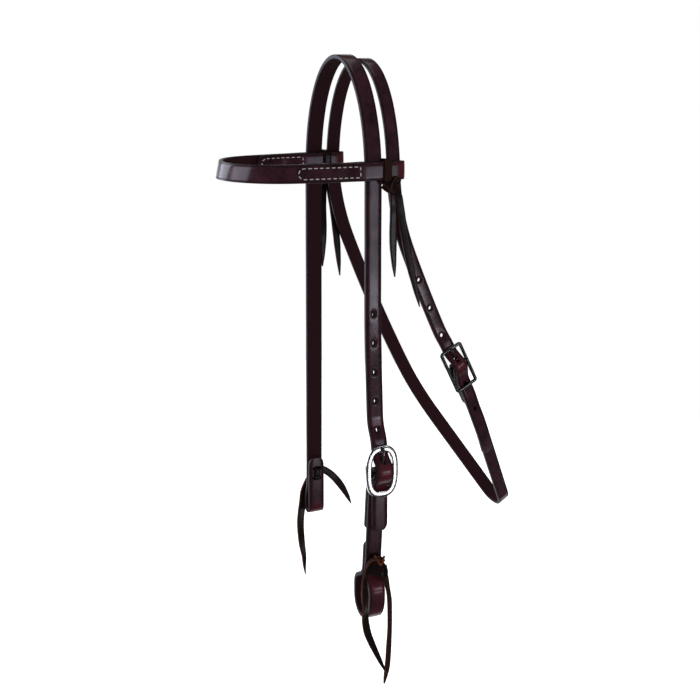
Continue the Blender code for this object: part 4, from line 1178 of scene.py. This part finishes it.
def shade_edges_by_bar(look, path, ring, centre):
    """Paints shade on the cut edges where a strap goes round a buckle's bar: dark, rough, no
    coat.
    """
    away = np.linalg.norm(path.centres - np.array(centre), axis=1)
    near = np.clip((edge_shade_reach - away) / edge_shade_fade, 0, 1)
    for index, (_, _, marks) in enumerate(ring):
        if marks[0] == 1:
            look[:, index, 3] = np.maximum(look[:, index, 3], near)


def hole_places(path, holes, depth):
    """Where and how wide to punch, from distances on a strap."""
    places = []
    for distance, width, length in holes:
        centre, along, out = path.place(distance)
        places.append((Vector(centre), Vector(out), Vector(along), width, length, depth))
    return places


def tube(shell, points, radii, sides, hint):
    """A round bar or wire along points, added to a shell; hint turns its rings."""
    points, hint = np.array(points, float), np.array(hint, float)
    along = unit(np.gradient(points, axis=0))
    across = unit(hint - along * (along @ hint)[:, None])
    radii = np.broadcast_to(radii, (len(points),))
    ring = []
    for side in range(sides):
        angle = 2 * math.pi * (side + 0.5) / sides
        ring.append((radii * math.cos(angle), radii * math.sin(angle), (0, 0, 0)))
    shell.add(points, across, np.cross(along, across), ring)


class Graph:
    """Builds the nodes of a material or a world with short calls."""

    def __init__(self, owner):
        owner.use_nodes = True
        self.owner = owner
        self.nodes = owner.node_tree.nodes
        self.links = owner.node_tree.links

    def feed(self, socket, value):
        """Links a socket to another one, or sets its value."""
        if isinstance(value, bpy.types.NodeSocket):
            self.links.new(value, socket)
        elif value is not None:
            socket.default_value = value

    def add(self, kind, inputs=(), **settings):
        node = self.nodes.new(kind)
        for key, value in settings.items():
            setattr(node, key, value)
        for key, value in dict(inputs).items():
            self.feed(node.inputs[key], value)
        return node

    def noise(self, vector, scale, detail=3.0, roughness=0.55):
        return self.add('ShaderNodeTexNoise', {"Vector": vector, "Scale": scale, "Detail": detail,
                                               "Roughness": roughness}).outputs["Fac"]

    def scaled(self, vector, scale):
        return self.add('ShaderNodeMapping', {"Vector": vector, "Scale": scale}).outputs[0]

    def math(self, operation, first, second, clamp=False):
        return self.add('ShaderNodeMath', {0: first, 1: second}, operation=operation,
                        use_clamp=clamp).outputs[0]

    def plus(self, first, second):
        return self.math('ADD', first, second)

    def times(self, first, second):
        return self.math('MULTIPLY', first, second)

    def fit(self, value, low, high, to_low=0.0, to_high=1.0, ease='LINEAR'):
        return self.add('ShaderNodeMapRange', {"Value": value, "From Min": low, "From Max": high,
                                               "To Min": to_low, "To Max": to_high},
                        interpolation_type=ease).outputs[0]

    def mix(self, factor, first, second):
        node = self.add('ShaderNodeMix', data_type='RGBA')
        sockets = {socket.identifier: socket for socket in node.inputs}
        self.feed(sockets["Factor_Float"], factor)
        for key, value in (("A_Color", first), ("B_Color", second)):
            self.feed(sockets[key], (*value, 1) if isinstance(value, tuple) else value)
        return next(s for s in node.outputs if s.identifier == "Result_Color")

    def bump(self, height, distance, strength, before=None):
        return self.add('ShaderNodeBump', {"Height": height, "Distance": distance,
                                           "Strength": strength, "Normal": before}).outputs[0]

    def finish(self, inputs):
        for key, value in inputs.items():
            self.feed(self.nodes["Principled BSDF"].inputs[key], value)
        return self.owner


def material_graph(name):
    """A new material's nodes, and the place on the object that its patterns follow."""
    g = Graph(bpy.data.materials.new(name))
    return g, g.add('ShaderNodeTexCoord').outputs["Object"]


def leather(name, dark, light, flesh, edge, bent, hole, roughness, grain, coat, specular):
    """Drum-dyed strap leather: grain, long streaks, raw flesh, burnished edges, pull-up bends."""
    g, place = material_graph(name)
    strip = g.add('ShaderNodeUVMap', uv_map="UVMap").outputs[0]
    look = g.add('ShaderNodeAttribute', attribute_name="look")
    parts = g.add('ShaderNodeSeparateColor', {"Color": look.outputs["Color"]})
    on_edge, on_flesh, on_bend = (parts.outputs[k] for k in range(3))
    # The look's fourth value is painted shade: holes, their rims, crease grooves and edges by a
    # bar
    painted_shade_mark = look.outputs["Alpha"]
    cloud = g.noise(place, 75.0, 4.0)
    mottle = g.noise(place, 420.0, 5.0, 0.65)
    streak = g.noise(g.scaled(strip, (2600.0, 70.0, 1.0)), 1.0, 3.0, 0.6)
    pores = g.add('ShaderNodeTexVoronoi', {"Vector": place, "Scale": grain}).outputs["Distance"]
    fibre = g.noise(g.scaled(strip, (1500.0, 700.0, 1.0)), 1.0, 6.0, 0.75)
    tone = g.fit(g.plus(g.times(cloud, 0.6), g.times(mottle, 0.4)), 0.36, 0.64)
    colour = g.mix(tone, dark, light)
    colour = g.mix(g.times(on_bend, g.fit(cloud, 0.3, 0.7, 0.45, 1.0)), colour, bent)
    raw = g.mix(g.fit(fibre, 0.35, 0.7), flesh, tuple(c * 1.5 for c in flesh))
    colour = g.mix(on_flesh, colour, raw)
    worn = g.fit(g.noise(place, 260.0, 4.0), 0.35, 0.7)
    colour = g.mix(on_edge, colour, g.mix(worn, edge, tuple(c * 1.7 for c in edge)))
    # Painted shade: those places take the dark hole colour
    colour = g.mix(g.times(painted_shade_mark, 0.85), colour, hole)
    rough = g.plus(g.fit(streak, 0.3, 0.7, roughness - 0.06, roughness + 0.05),
                   g.times(mottle, 0.08))
    rough = g.plus(rough, g.times(on_flesh, 0.42))
    rough = g.plus(rough, g.times(painted_shade_mark, 0.2))
    rough = g.math('SUBTRACT', rough, g.times(on_edge, 0.07), True)
    normal = g.bump(pores, 0.00005, 0.55)
    normal = g.bump(streak, 0.00003, 0.5, normal)
    normal = g.bump(mottle, 0.00006, 0.5, normal)
    normal = g.bump(g.times(fibre, on_flesh), 0.00012, 0.8, normal)
    polish = g.math('SUBTRACT', 1.0, on_flesh, True)
    polish = g.times(polish, g.math('SUBTRACT', 1.0, g.times(on_edge, 0.8)))
    polish = g.times(polish, g.math('SUBTRACT', 1.0, painted_shade_mark, True))
    polish = g.times(polish, g.fit(cloud, 0.3, 0.7, coat * 0.8, coat * 1.15))
    return g.finish({"Base Color": colour, "Roughness": rough, "Normal": normal,
                     "Coat Weight": polish, "Coat Roughness": coat_roughness,
                     "Specular IOR Level": specular, "IOR": 1.5})


def metal(name, colour, tarnish, roughness, scratches):
    """Polished or plated steel with fine scratches and a little tarnish."""
    g, place = material_graph(name)
    cloud = g.noise(place, 160.0, 4.0)
    fine = g.noise(g.scaled(place, (9000.0, 2500.0, 400.0)), 1.0, 3.0, 0.7)
    pits = g.noise(place, 1900.0, 5.0, 0.6)
    shade = g.mix(g.fit(cloud, 0.45, 0.75), colour, tarnish)
    rough = g.plus(g.fit(fine, 0.3, 0.75, roughness, roughness + scratches),
                   g.fit(cloud, 0.4, 0.75, 0.0, 0.06))
    normal = g.bump(pits, 0.00001, 0.4, g.bump(fine, 0.000008, 0.35))
    return g.finish({"Base Color": shade, "Roughness": rough, "Normal": normal, "Metallic": 1.0})


def thread_material(name):
    """Waxed linen thread, with the twist of its strands in the bump."""
    g, place = material_graph(name)
    soil = g.noise(place, 300.0, 4.0)
    twist = g.add('ShaderNodeTexWave', {"Vector": g.scaled(place, (1.0, 1.0, 0.55)),
                                        "Scale": 1500.0, "Distortion": 1.5,
                                        "Detail": 2.0}).outputs["Fac"]
    colour = g.mix(g.fit(soil, 0.35, 0.75), thread_pale, thread_soiled)
    colour = g.mix(g.times(twist, 0.35), colour, thread_shade)
    return g.finish({"Base Color": colour, "Roughness": g.fit(soil, 0.3, 0.7, 0.5, 0.68),
                     "Normal": g.bump(twist, 0.00006, 0.7), "Sheen Weight": 0.15})


def tie_slots(centre):
    """Two slots through a folded strap end, one above the other."""
    places = []
    for side in (-1, 1):
        middle = centre + UP * (side * tie_slot_pitch / 2)
        places.append((middle, Vector((0, 1, 0)), UP, tie_slot_width, tie_slot_height,
                       tie_slot_depth))
    return places


def keep(piece, body, slot, node):
    """Sets a piece on its body in place of its CAD node; the slot is not used."""
    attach(piece, body)
    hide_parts(node)


def build_crown(material):
    """The crown strap: near billet, poll, off leg and off bit loop, with its holes."""
    billet = billet_points(cheek_buckle, crown_billet_length)
    rest = billet[-1]
    near = [Vector((-(cheek_bar_out + point.x), point.y - cheek_buckle_drop))
            for point in billet]
    leg = crown_leg_route(Vector((cheek_bar_out + rest.x, rest.y - cheek_buckle_drop)))
    near += [Vector((-point.x, point.y)) for point in leg.points[1:]]
    arch = arch_points(leg_plane, crown_thickness / 2, crown_arch_rise)
    stations = [crown_station(point) for point in near + arch[1:-1] + off_loop_route().points]
    first = tongue_hole_distance(cheek_buckle, crown_billet_length) + cheek_first_hole
    holes = [(first + cheek_hole_pitch * index, cheek_hole_width, cheek_hole_length)
             for index in range(crown_hole_count)]
    piece, path = strap("crown_strap_leather", stations, crown_width, crown_thickness,
                        edge_radius, material, -1, crown_end_length, holes, edge_shade_centre=cheek_bar)
    places = hole_places(path, holes, punch_depth)
    places.append(tongue_hole(cheek_buckle, cheek_bar, Matrix.Identity(3),
                              cheek_worn_hole_width, cheek_worn_hole_length, punch_depth))
    punch(piece, places + tie_slots(off_tie_spot(leg_plane - crown_thickness / 2)))
    keep(piece, "headstall", "harness_leather", "crown_strap")


def cut_eye_slot(piece, buckle, thickness, matrix):
    """Opens the slot in a folded strap where the tongue's eye goes round the bar."""
    half_width = buckle.tongue_radius + eye_slot_room
    outer = buckle.fold_radius + thickness
    low = -buckle.eye_radius - buckle.tongue_radius - clearance * 2
    inner = buckle.fold_rest - thickness
    mesh = bmesh.new()
    bmesh.ops.create_cube(mesh, size=1)
    for vertex in mesh.verts:
        vertex.co.x *= 2 * half_width
        vertex.co.y = -outer if vertex.co.y < 0 else -inner
        vertex.co.z = low if vertex.co.z < 0 else outer
    mesh.transform(matrix)
    carve(piece, mesh, False)


def build_cheek(material):
    """The near cheek piece: folded round the buckle bar above and the bit below."""
    stations = [Station(cheek_place(point.x, point.y), ACROSS) for point in cheek_route()]
    piece, _ = strap("cheek_piece_leather", stations, cheek_width, cheek_thickness, edge_radius,
                     material, 1, cheek_end_length, edge_shade_centre=cheek_bar)
    cut_eye_slot(piece, cheek_buckle, cheek_thickness, Matrix.Translation(cheek_bar))
    half_layer = (cheek_thickness + clearance) / 2
    level = cheek_buckle_drop - near_tie_drop
    punch(piece, tie_slots(cheek_place(cheek_buckle.main_rest - half_layer, level)))
    keep(piece, "cheek", "harness_leather", "cheek_piece")


def build_throatlatch(material):
    """The throatlatch: buckle fold, throat, off side, poll and near billet, with its holes."""
    points = throat_points()
    stations = []
    for before, after in zip(points, points[1:]):
        steps = max(1, math.ceil((after - before).length / route_step))
        for step in range(steps):
            stations.append(throat_place(*before.lerp(after, step / steps)))
    stations.append(throat_place(*points[-1]))
    run = along_line(np.array([s.centre for s in stations], float))
    start = run[-1] - throat_billet_length + throat_frame_height / 2
    for station, distance in zip(stations, run):
        share = eased_share(distance - start, throat_billet_offset_run)
        station.centre -= station.across * (throat_billet_offset * share)
    worn = run[-1] - (throat_billet_length + tongue_hole_rise(throat_buckle))
    size = (throat_hole_diameter, throat_hole_diameter)
    holes = [(worn - throat_hole_pitch * index, *size) for index in range(1, throat_hole_count)]
    spare = [(worn + throat_hole_pitch * index, *size)
             for index in range(1, throat_billet_holes + 1)]
    bar, turn = throat_bar_place()
    piece, path = strap("throatlatch_leather", stations, throat_width, throat_thickness,
                        edge_radius * throat_edge_share, material, 1, throat_end_length, holes,
                        crease_inset * throat_crease_share, bar)
    places = hole_places(path, holes, punch_depth)
    places += hole_places(path, spare, throat_thickness + clearance)
    places.append(tongue_hole(throat_buckle, bar, turn, throat_hole_diameter,
                              throat_worn_hole_length, throat_worn_hole_depth))
    punch(piece, places)
    matrix = Matrix.Translation(bar) @ turn.to_4x4()
    cut_eye_slot(piece, throat_buckle, throat_thickness, matrix)
    keep(piece, "headstall", "harness_leather", "throatlatch_strap")


def band_turn(rear, steps=32):
    """The fold round the rear of a browband loop, between its inner and outer layers."""
    radius = band_gap(1) / 2
    turn = []
    for step in range(1, steps):
        angle = math.pi * (0.5 - step / steps)
        offset = Vector((math.cos(angle), math.sin(angle), 0)) * radius
        turn.append(Station(rear + offset, UP))
    return turn


def build_browband(material):
    """The browband, with both ends folded back into loops."""
    halves = []
    for fold_length in (near_band_fold_length, off_band_fold_length):
        outer, inner, rear = band_layers(fold_length)
        halves.append(inner[::-1] + band_turn(rear) + outer)
    stations = halves[0] + mirrored(halves[1])[-2::-1]
    piece, _ = strap("browband_leather", stations, band_width, band_thickness, edge_radius,
                     material, -1, band_end_length)
    keep(piece, "headstall", "harness_leather", "browband")


def stitch(shell, centre, along, out, length):
    """One stitch of waxed thread: it rises out of one hole, lies flat and dives into the next."""
    parts = np.linspace(-1, 1, 9)
    rise = thread_radius * (0.55 - 1.9 * np.abs(parts) ** 4)
    points = centre + along * (parts * length / 2)[:, None] + out * rise[:, None]
    radii = thread_radius * np.clip(1.15 - 0.45 * np.abs(parts) ** 3, 0.5, 1)
    tube(shell, points, radii, 8, out)


def stitch_line(front, rear):
    """A stitched outline along a strap: square at its rear, round at its front."""
    half_rows = stitch_rows / 2
    straight_end = front - stitch_corner
    points = [(rear, -half_rows), (straight_end, -half_rows)]
    for step in range(1, 13):
        angle = math.pi * step / 12
        points.append((straight_end + stitch_corner * math.sin(angle),
                       -half_rows * math.cos(angle)))
    points += [(rear, half_rows), (rear, -half_rows)]
    return np.array(points, float)


def stitch_face(name, path, front, rear, sign, material):
    """Lock stitches on one face of a sewn browband end."""
    outline = stitch_line(front, rear)
    run = along_line(outline)
    count = int(round(run[-1] / stitch_pitch))
    outward = sign * band_thickness / 2
    shell = Shell()
    for index in range(count):
        middle = (index + 0.5) / count * run[-1]
        ends = sampled(outline, run, np.array([middle - stitch_length / 2,
                                               middle + stitch_length / 2]))
        first = path.place(*ends[0], outward)[0]
        second, _, out = path.place(*ends[1], outward)
        along = second - first
        length = np.linalg.norm(along)
        if length > stitch_length * 0.5:
            stitch(shell, (first + second) / 2, along / length, out * sign, length)
    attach(shell.object(name, material, 60), "headstall")


def build_stitches(material):
    """The stitching of both sewn browband ends, on their outer and inner faces."""
    for name, side, fold, rear in (("near", -1, near_band_fold_length, near_stitch_rear),
                                   ("off", 1, off_band_fold_length, off_stitch_rear)):
        layers = band_layers(fold)[:2]
        if side > 0:
            layers = [mirrored(layer) for layer in layers]
        outer, inner = (Path(layer, ring_step) for layer in layers)
        front = min(fold, inner.length) - stitch_front_inset
        for face, path, way in (("outer", outer, side), ("inner", inner, -side)):
            sign = 1 if path.place(rear)[2][1] * way > 0 else -1
            stitch_face(f"{name}_browband_stitches_{face}", path, front, rear, sign, material)


def frame_piece(name, buckle, points, lift, width, power, matrix, material):
    """A buckle's frame round its closed centre line, with the bar flared into both rails."""
    points = np.array([tuple(p) for p in points], float)
    along = unit(np.roll(points, -1, 0) - np.roll(points, 1, 0))
    out = np.tile((0.0, -1.0, 0.0), (len(points), 1))
    centres = points + np.array((0, -buckle.rail_plane, lift))
    shell = Shell()
    shell.add(centres, np.cross(along, out), out,
              round_section(width / 2, buckle.rail_depth, power, 24), closed=True)
    piece = shell.object(name, material, 50)
    reach = points[:, 0].max()
    parts = np.linspace(-1, 1, 41)
    line = np.stack([parts * reach, np.zeros(41), np.zeros(41)], 1)
    flare = np.exp(-((1 - np.abs(parts)) * reach - width / 2) ** 2 / bar_flare_length ** 2)
    bar = Shell()
    tube(bar, line, buckle.bar_radius * (1 + bar_flare_share * flare), 24, (0, 1, 0))
    tool = bar.object(name + "_bar", material, 50)
    data = tool.data
    bpy.data.objects.remove(tool)
    boolean(piece, data, 'UNION', 50)
    piece.data.transform(matrix)
    return piece


def tongue_piece(name, buckle, reach, matrix, material):
    """A bent wire tongue: an open eye round the bar and a shank that rests on the top rail."""
    eye = buckle.eye_radius
    radius = buckle.tongue_radius
    start = 180 * DEG + tongue_eye_lean
    route = Route(eye * math.sin(-tongue_eye_lean), eye * math.cos(tongue_eye_lean), start)
    route.turn(eye, 450 * DEG - start)
    rest_out = buckle.rail_front + clearance + radius
    rise = reach - radius
    route.straight(rise * tongue_lift_start_share, 6)
    route.shift(eye - rest_out, rise * tongue_lift_run_share)
    route.straight_to_v(reach + radius / 2)
    points = np.array([(0, -p.x, p.y) for p in route.points], float)
    run = along_line(points)
    wanted = np.linspace(0, run[-1], tongue_rings)
    cap = np.array([0.06, 0.25, 0.55, 1]) * radius * tongue_end_share
    wanted = np.unique(np.concatenate([wanted, cap, run[-1] - cap]))
    points = smoothed(sampled(points, run, wanted), 3)
    left = run[-1] - wanted
    taper = (1 - tongue_tip_share) * np.clip(left / tongue_taper_length, 0, 1)
    radii = radius * (tongue_tip_share + taper)
    for distance in (wanted, left):
        near = np.clip(1 - distance / (radius * tongue_end_share), 0, 1)
        radii = radii * np.sqrt(np.maximum(1 - near ** 2, 0.02))
    shell = Shell()
    tube(shell, points, radii, 18, (1, 0, 0))
    piece = shell.object(name, material, 60)
    piece.data.transform(matrix)
    return piece


def build_buckle(name, node, slot, buckle, outline, lift, rail_width, power, height, place,
                 material):
    """A buckle's frame on the headstall, and its tongue on a body of its own."""
    piece = frame_piece(name + "_buckle_frame_steel", buckle, outline, lift, rail_width, power,
                        place, material)
    keep(piece, "headstall", slot, node + "_buckle_frame")
    piece = tongue_piece(name + "_buckle_tongue_steel", buckle, height / 2 + lift, place,
                         material)
    keep(piece, name + "_tongue", slot, node + "_buckle_tongue")


def build_buckles():
    """The bright oval cheek buckle and the dark square throatlatch buckle."""
    oval = oval_points((cheek_frame_width - cheek_rail_width) / 2,
                       (cheek_frame_height - cheek_rail_width) / 2, oval_power)
    build_buckle("cheek", "cheek", "stainless", cheek_buckle, oval, cheek_frame_lift,
                 cheek_rail_width, cheek_rail_power, cheek_frame_height,
                 Matrix.Translation(cheek_bar), metal("stainless_steel", **stainless_look))
    bar, turn = throat_bar_place()
    square = corner_points((throat_frame_width - throat_rail_width) / 2,
                           (throat_frame_height - throat_rail_width) / 2, throat_corner_radius)
    build_buckle("throat", "throatlatch", "dark_steel", throat_buckle, square,
                 throat_frame_lift, throat_rail_width, throat_rail_power, throat_frame_height,
                 Matrix.Translation(bar) @ turn.to_4x4(),
                 metal("dark_nickel_steel", **dark_steel_look))


def lace_run(shell, stations, raw):
    """One run of lace added to a tie; raw says how pale its cut edges are."""
    path = Path(stations, lace_ring_step, rounds=3)
    half = lace_width / 2 * path.share
    wave = 1 + ripple(path.at, 0.012, 5.3) + ripple(path.at, 0.01, 2.1, 2)
    ring = lace_section(half * wave, lace_thickness * (2 - wave), lace_edge_radius, raw)
    bend = np.abs(path.curve) * lace_thickness * lace_bend_gain - lace_bend_least
    bend = np.clip(bend, 0, 1)
    shell.add(path.centres, path.across, path.out, ring, path.at, smoothed(bend, 4))


def tail_stations(frame, length, route_shares, way_shares, taper=long_taper):
    """A hanging end of lace, cut to a long point."""
    points = smooth_line([frame.point(*(share * length for share in shares))
                          for shares in route_shares], 16)
    ways = smooth_line([frame.way(*way) for way in way_shares], 16)
    run = along_line(np.array([tuple(p) for p in points]))
    stations = []
    for point, way, travelled in zip(points, ways, run):
        left = (run[-1] - travelled) / run[-1]
        share = float(np.interp(left, *taper))
        stations.append(Station(point, way, share))
    return stations


def curved_run(frame, rows, steps=14):
    """Lace stations through rows of (back, outward, up, way back, way outward, way up, share)."""
    points = smooth_line([frame.point(*(part * MM for part in row[:3])) for row in rows], steps)
    ways = smooth_line([frame.way(*row[3:6]) for row in rows], steps)
    shares = smooth_line([Vector((row[6], 0, 0)) for row in rows], steps)
    return [Station(point, way, share.x) for point, way, share in zip(points, ways, shares)]


def build_band_tie(node, side, front_tail, rear_tail, material):
    """A lace round a browband loop, between the straps in it, knotted under the loop."""
    gap_back = (crown_width / 2 + throat_set_back - throat_width / 2) / 2
    middle_out = leg_plane - band_slack / 2
    frame = TieFrame(Vector((gap_back, side * middle_out, -band_height)), side)
    foot = TieFrame(frame.point(0, 0, -band_width / 2 - lace_thickness / 2), side)
    half_out = band_gap(1) / 2 + band_thickness / 2 + clearance + lace_thickness / 2
    half_up = band_width / 2 + clearance + lace_thickness / 2
    corner = lace_thickness
    route = Route(0, -half_up, 0)
    for across, rise in ((half_out, half_up), (half_up, half_out)) * 2:
        route.straight(across - corner, 3).turn(corner, 90 * DEG).straight(rise - corner, 3)
    shell = Shell()
    stations = [Station(frame.point(0, point.x, point.y), ACROSS,
                        1 if abs(point.y) < half_up - lace_thickness / 2 else pulled_lace_share)
                for point in route.points]
    lace_run(shell, stations, 0)
    for rows, raw in zip(band_knot_rows, band_knot_raw):
        lace_run(shell, curved_run(foot, rows), raw)
    for shares, ways in (front_tail, rear_tail):
        lace_run(shell, tail_stations(foot, band_tail_length, shares, ways), band_tail_raw)
    keep(shell.object(node + "_lace", material, 50), "headstall", "lace_leather", node)


def build_bit_tie(node, body, frame, thickness, knot, tails, material):
    """A lace through the slots of a bit loop, knotted outside it."""
    shell = Shell()
    depth = 2 * thickness + 2 * clearance + lace_thickness / 2
    corner = lace_corner_radius
    route = Route(lace_reach, tie_slot_pitch / 2, 180 * DEG)
    route.straight(lace_reach + depth - corner, 4).turn(corner, 90 * DEG)
    route.straight(tie_slot_pitch - 2 * corner, 4).turn(corner, 90 * DEG)
    route.straight(lace_reach + depth - corner, 4)
    lace_run(shell, [Station(frame.point(0, point.x, point.y), ACROSS, pulled_lace_share)
                     for point in route.points], 0)
    for rows, raw in knot:
        lace_run(shell, curved_run(frame, rows), raw)
    for shares, ways, taper, raw in tails:
        lace_run(shell, tail_stations(frame, bit_tail_length, shares, ways, taper), raw)
    keep(shell.object(node + "_lace", material, 50), body, "lace_leather", node)


def build_ties(material):
    """The four laces: two hold the browband and two close the bit loops."""
    build_band_tie("near_browband_tie", -1, (near_band_front_tail_shares, hanging_ways),
                   (near_band_rear_tail_shares, turned_ways), material)
    build_band_tie("off_browband_tie", 1, (off_band_front_tail_shares, hanging_ways),
                   (off_band_rear_tail_shares, hanging_ways), material)
    near_face = cheek_buckle.main_rest + cheek_thickness / 2
    near_spot = cheek_place(near_face, cheek_buckle_drop - near_tie_drop)
    build_bit_tie("near_bit_tie", "cheek", TieFrame(near_spot, -1), cheek_thickness,
                  zip(near_knot_rows, near_knot_raw),
                  ((near_bit_front_tail_shares, front_tail_ways, long_taper, near_tail_raw[0]),
                   (near_bit_rear_tail_shares, rear_tail_ways, short_taper, near_tail_raw[1])),
                  material)
    off_spot = off_tie_spot(leg_plane + crown_thickness / 2)
    build_bit_tie("off_bit_tie", "headstall", TieFrame(off_spot, 1), crown_thickness,
                  zip(off_knot_rows, off_knot_raw),
                  ((off_bit_front_tail_shares, off_front_tail_ways, long_taper, off_tail_raw[0]),
                   (off_bit_rear_tail_shares, off_rear_tail_ways, long_taper, off_tail_raw[1])),
                  material)


def build_world(scene):
    """White to the camera, a plain level on the object, and a pale backdrop in its gloss."""
    world = bpy.data.worlds.new("studio")
    scene.world = world
    g = Graph(world)
    path = g.add('ShaderNodeLightPath').outputs
    facing = g.add('ShaderNodeVectorMath', {0: g.add('ShaderNodeTexCoord').outputs["Generated"],
                                            1: backdrop_way}, operation='DOT_PRODUCT')
    behind = g.fit(facing.outputs["Value"], backdrop_start, backdrop_full, room_glow, 1.0,
                   'SMOOTHSTEP')
    strength = ambient
    for ray, seen in (("Is Glossy Ray", behind), ("Is Transmission Ray", 1.0),
                      ("Is Camera Ray", 1.0)):
        strength = g.add('ShaderNodeMix', {0: path[ray], 2: strength, 3: seen}).outputs[0]
    background = g.nodes["Background"]
    g.feed(background.inputs["Strength"], strength)
    g.feed(background.inputs["Color"], (1, 1, 1, 1))


def build_floor(scene):
    """A pale round floor, white to the camera, that throws a little light back."""
    mesh = bpy.data.meshes.new("floor")
    shape = bmesh.new()
    bmesh.ops.create_circle(shape, cap_ends=True, segments=96, radius=floor_radius)
    shape.to_mesh(mesh)
    shape.free()
    floor = bpy.data.objects.new("floor", mesh)
    floor.location = (*floor_centre, floor_level)
    scene.collection.objects.link(floor)
    g, place = material_graph("pale_floor")
    path = g.add('ShaderNodeLightPath').outputs
    pale = g.mix(g.noise(place, 40.0), floor_dark, floor_pale)
    colour = g.mix(path["Is Diffuse Ray"], pale, (floor_bounce,) * 3)
    glow = g.mix(path["Is Camera Ray"], (0, 0, 0), (floor_fill,) * 3)
    mesh.materials.append(g.finish({"Base Color": colour, "Roughness": 0.9,
                                    "Specular IOR Level": 0.1, "Emission Color": glow,
                                    "Emission Strength": 1.0}))


def build_lamps(scene):
    """Soft rectangular lamps, each aimed at its target."""
    for name, place, target, width, height, radiance, colour in lamps:
        data = bpy.data.lights.new(name, 'AREA')
        data.shape = 'RECTANGLE'
        data.size, data.size_y = width, height
        data.energy = radiance * math.pi * width * height
        data.color = colour
        lamp = bpy.data.objects.new(name, data)
        lamp.location = place
        aim = Vector(target) - Vector(place)
        lamp.rotation_euler = aim.to_track_quat('-Z', 'Y').to_euler()
        lamp.visible_camera = False
        scene.collection.objects.link(lamp)


def build_camera(scene):
    """The photograph's camera, at its angles round the object."""
    data = bpy.data.cameras.new("camera")
    data.sensor_width = camera_sensor
    data.lens = camera_lens
    camera = bpy.data.objects.new("camera", data)
    azimuth, elevation = camera_azimuth, camera_elevation
    back = Vector((math.sin(azimuth) * math.cos(elevation),
                   -math.cos(azimuth) * math.cos(elevation), math.sin(elevation)))
    camera.location = Vector(camera_target) + back * camera_distance
    camera.rotation_euler = (-back).to_track_quat('-Z', 'Y').to_euler()
    scene.collection.objects.link(camera)
    scene.camera = camera


def main():
    strap_leather = leather("harness_leather", **strap_look)
    build_crown(strap_leather)
    build_cheek(strap_leather)
    build_throatlatch(strap_leather)
    build_browband(strap_leather)
    build_stitches(thread_material("waxed_thread"))
    build_buckles()
    build_ties(leather("latigo_lace", **lace_look))
    scene = bpy.context.scene
    scene.view_settings.view_transform = 'Standard'
    build_world(scene)
    build_floor(scene)
    build_lamps(scene)
    build_camera(scene)


main()
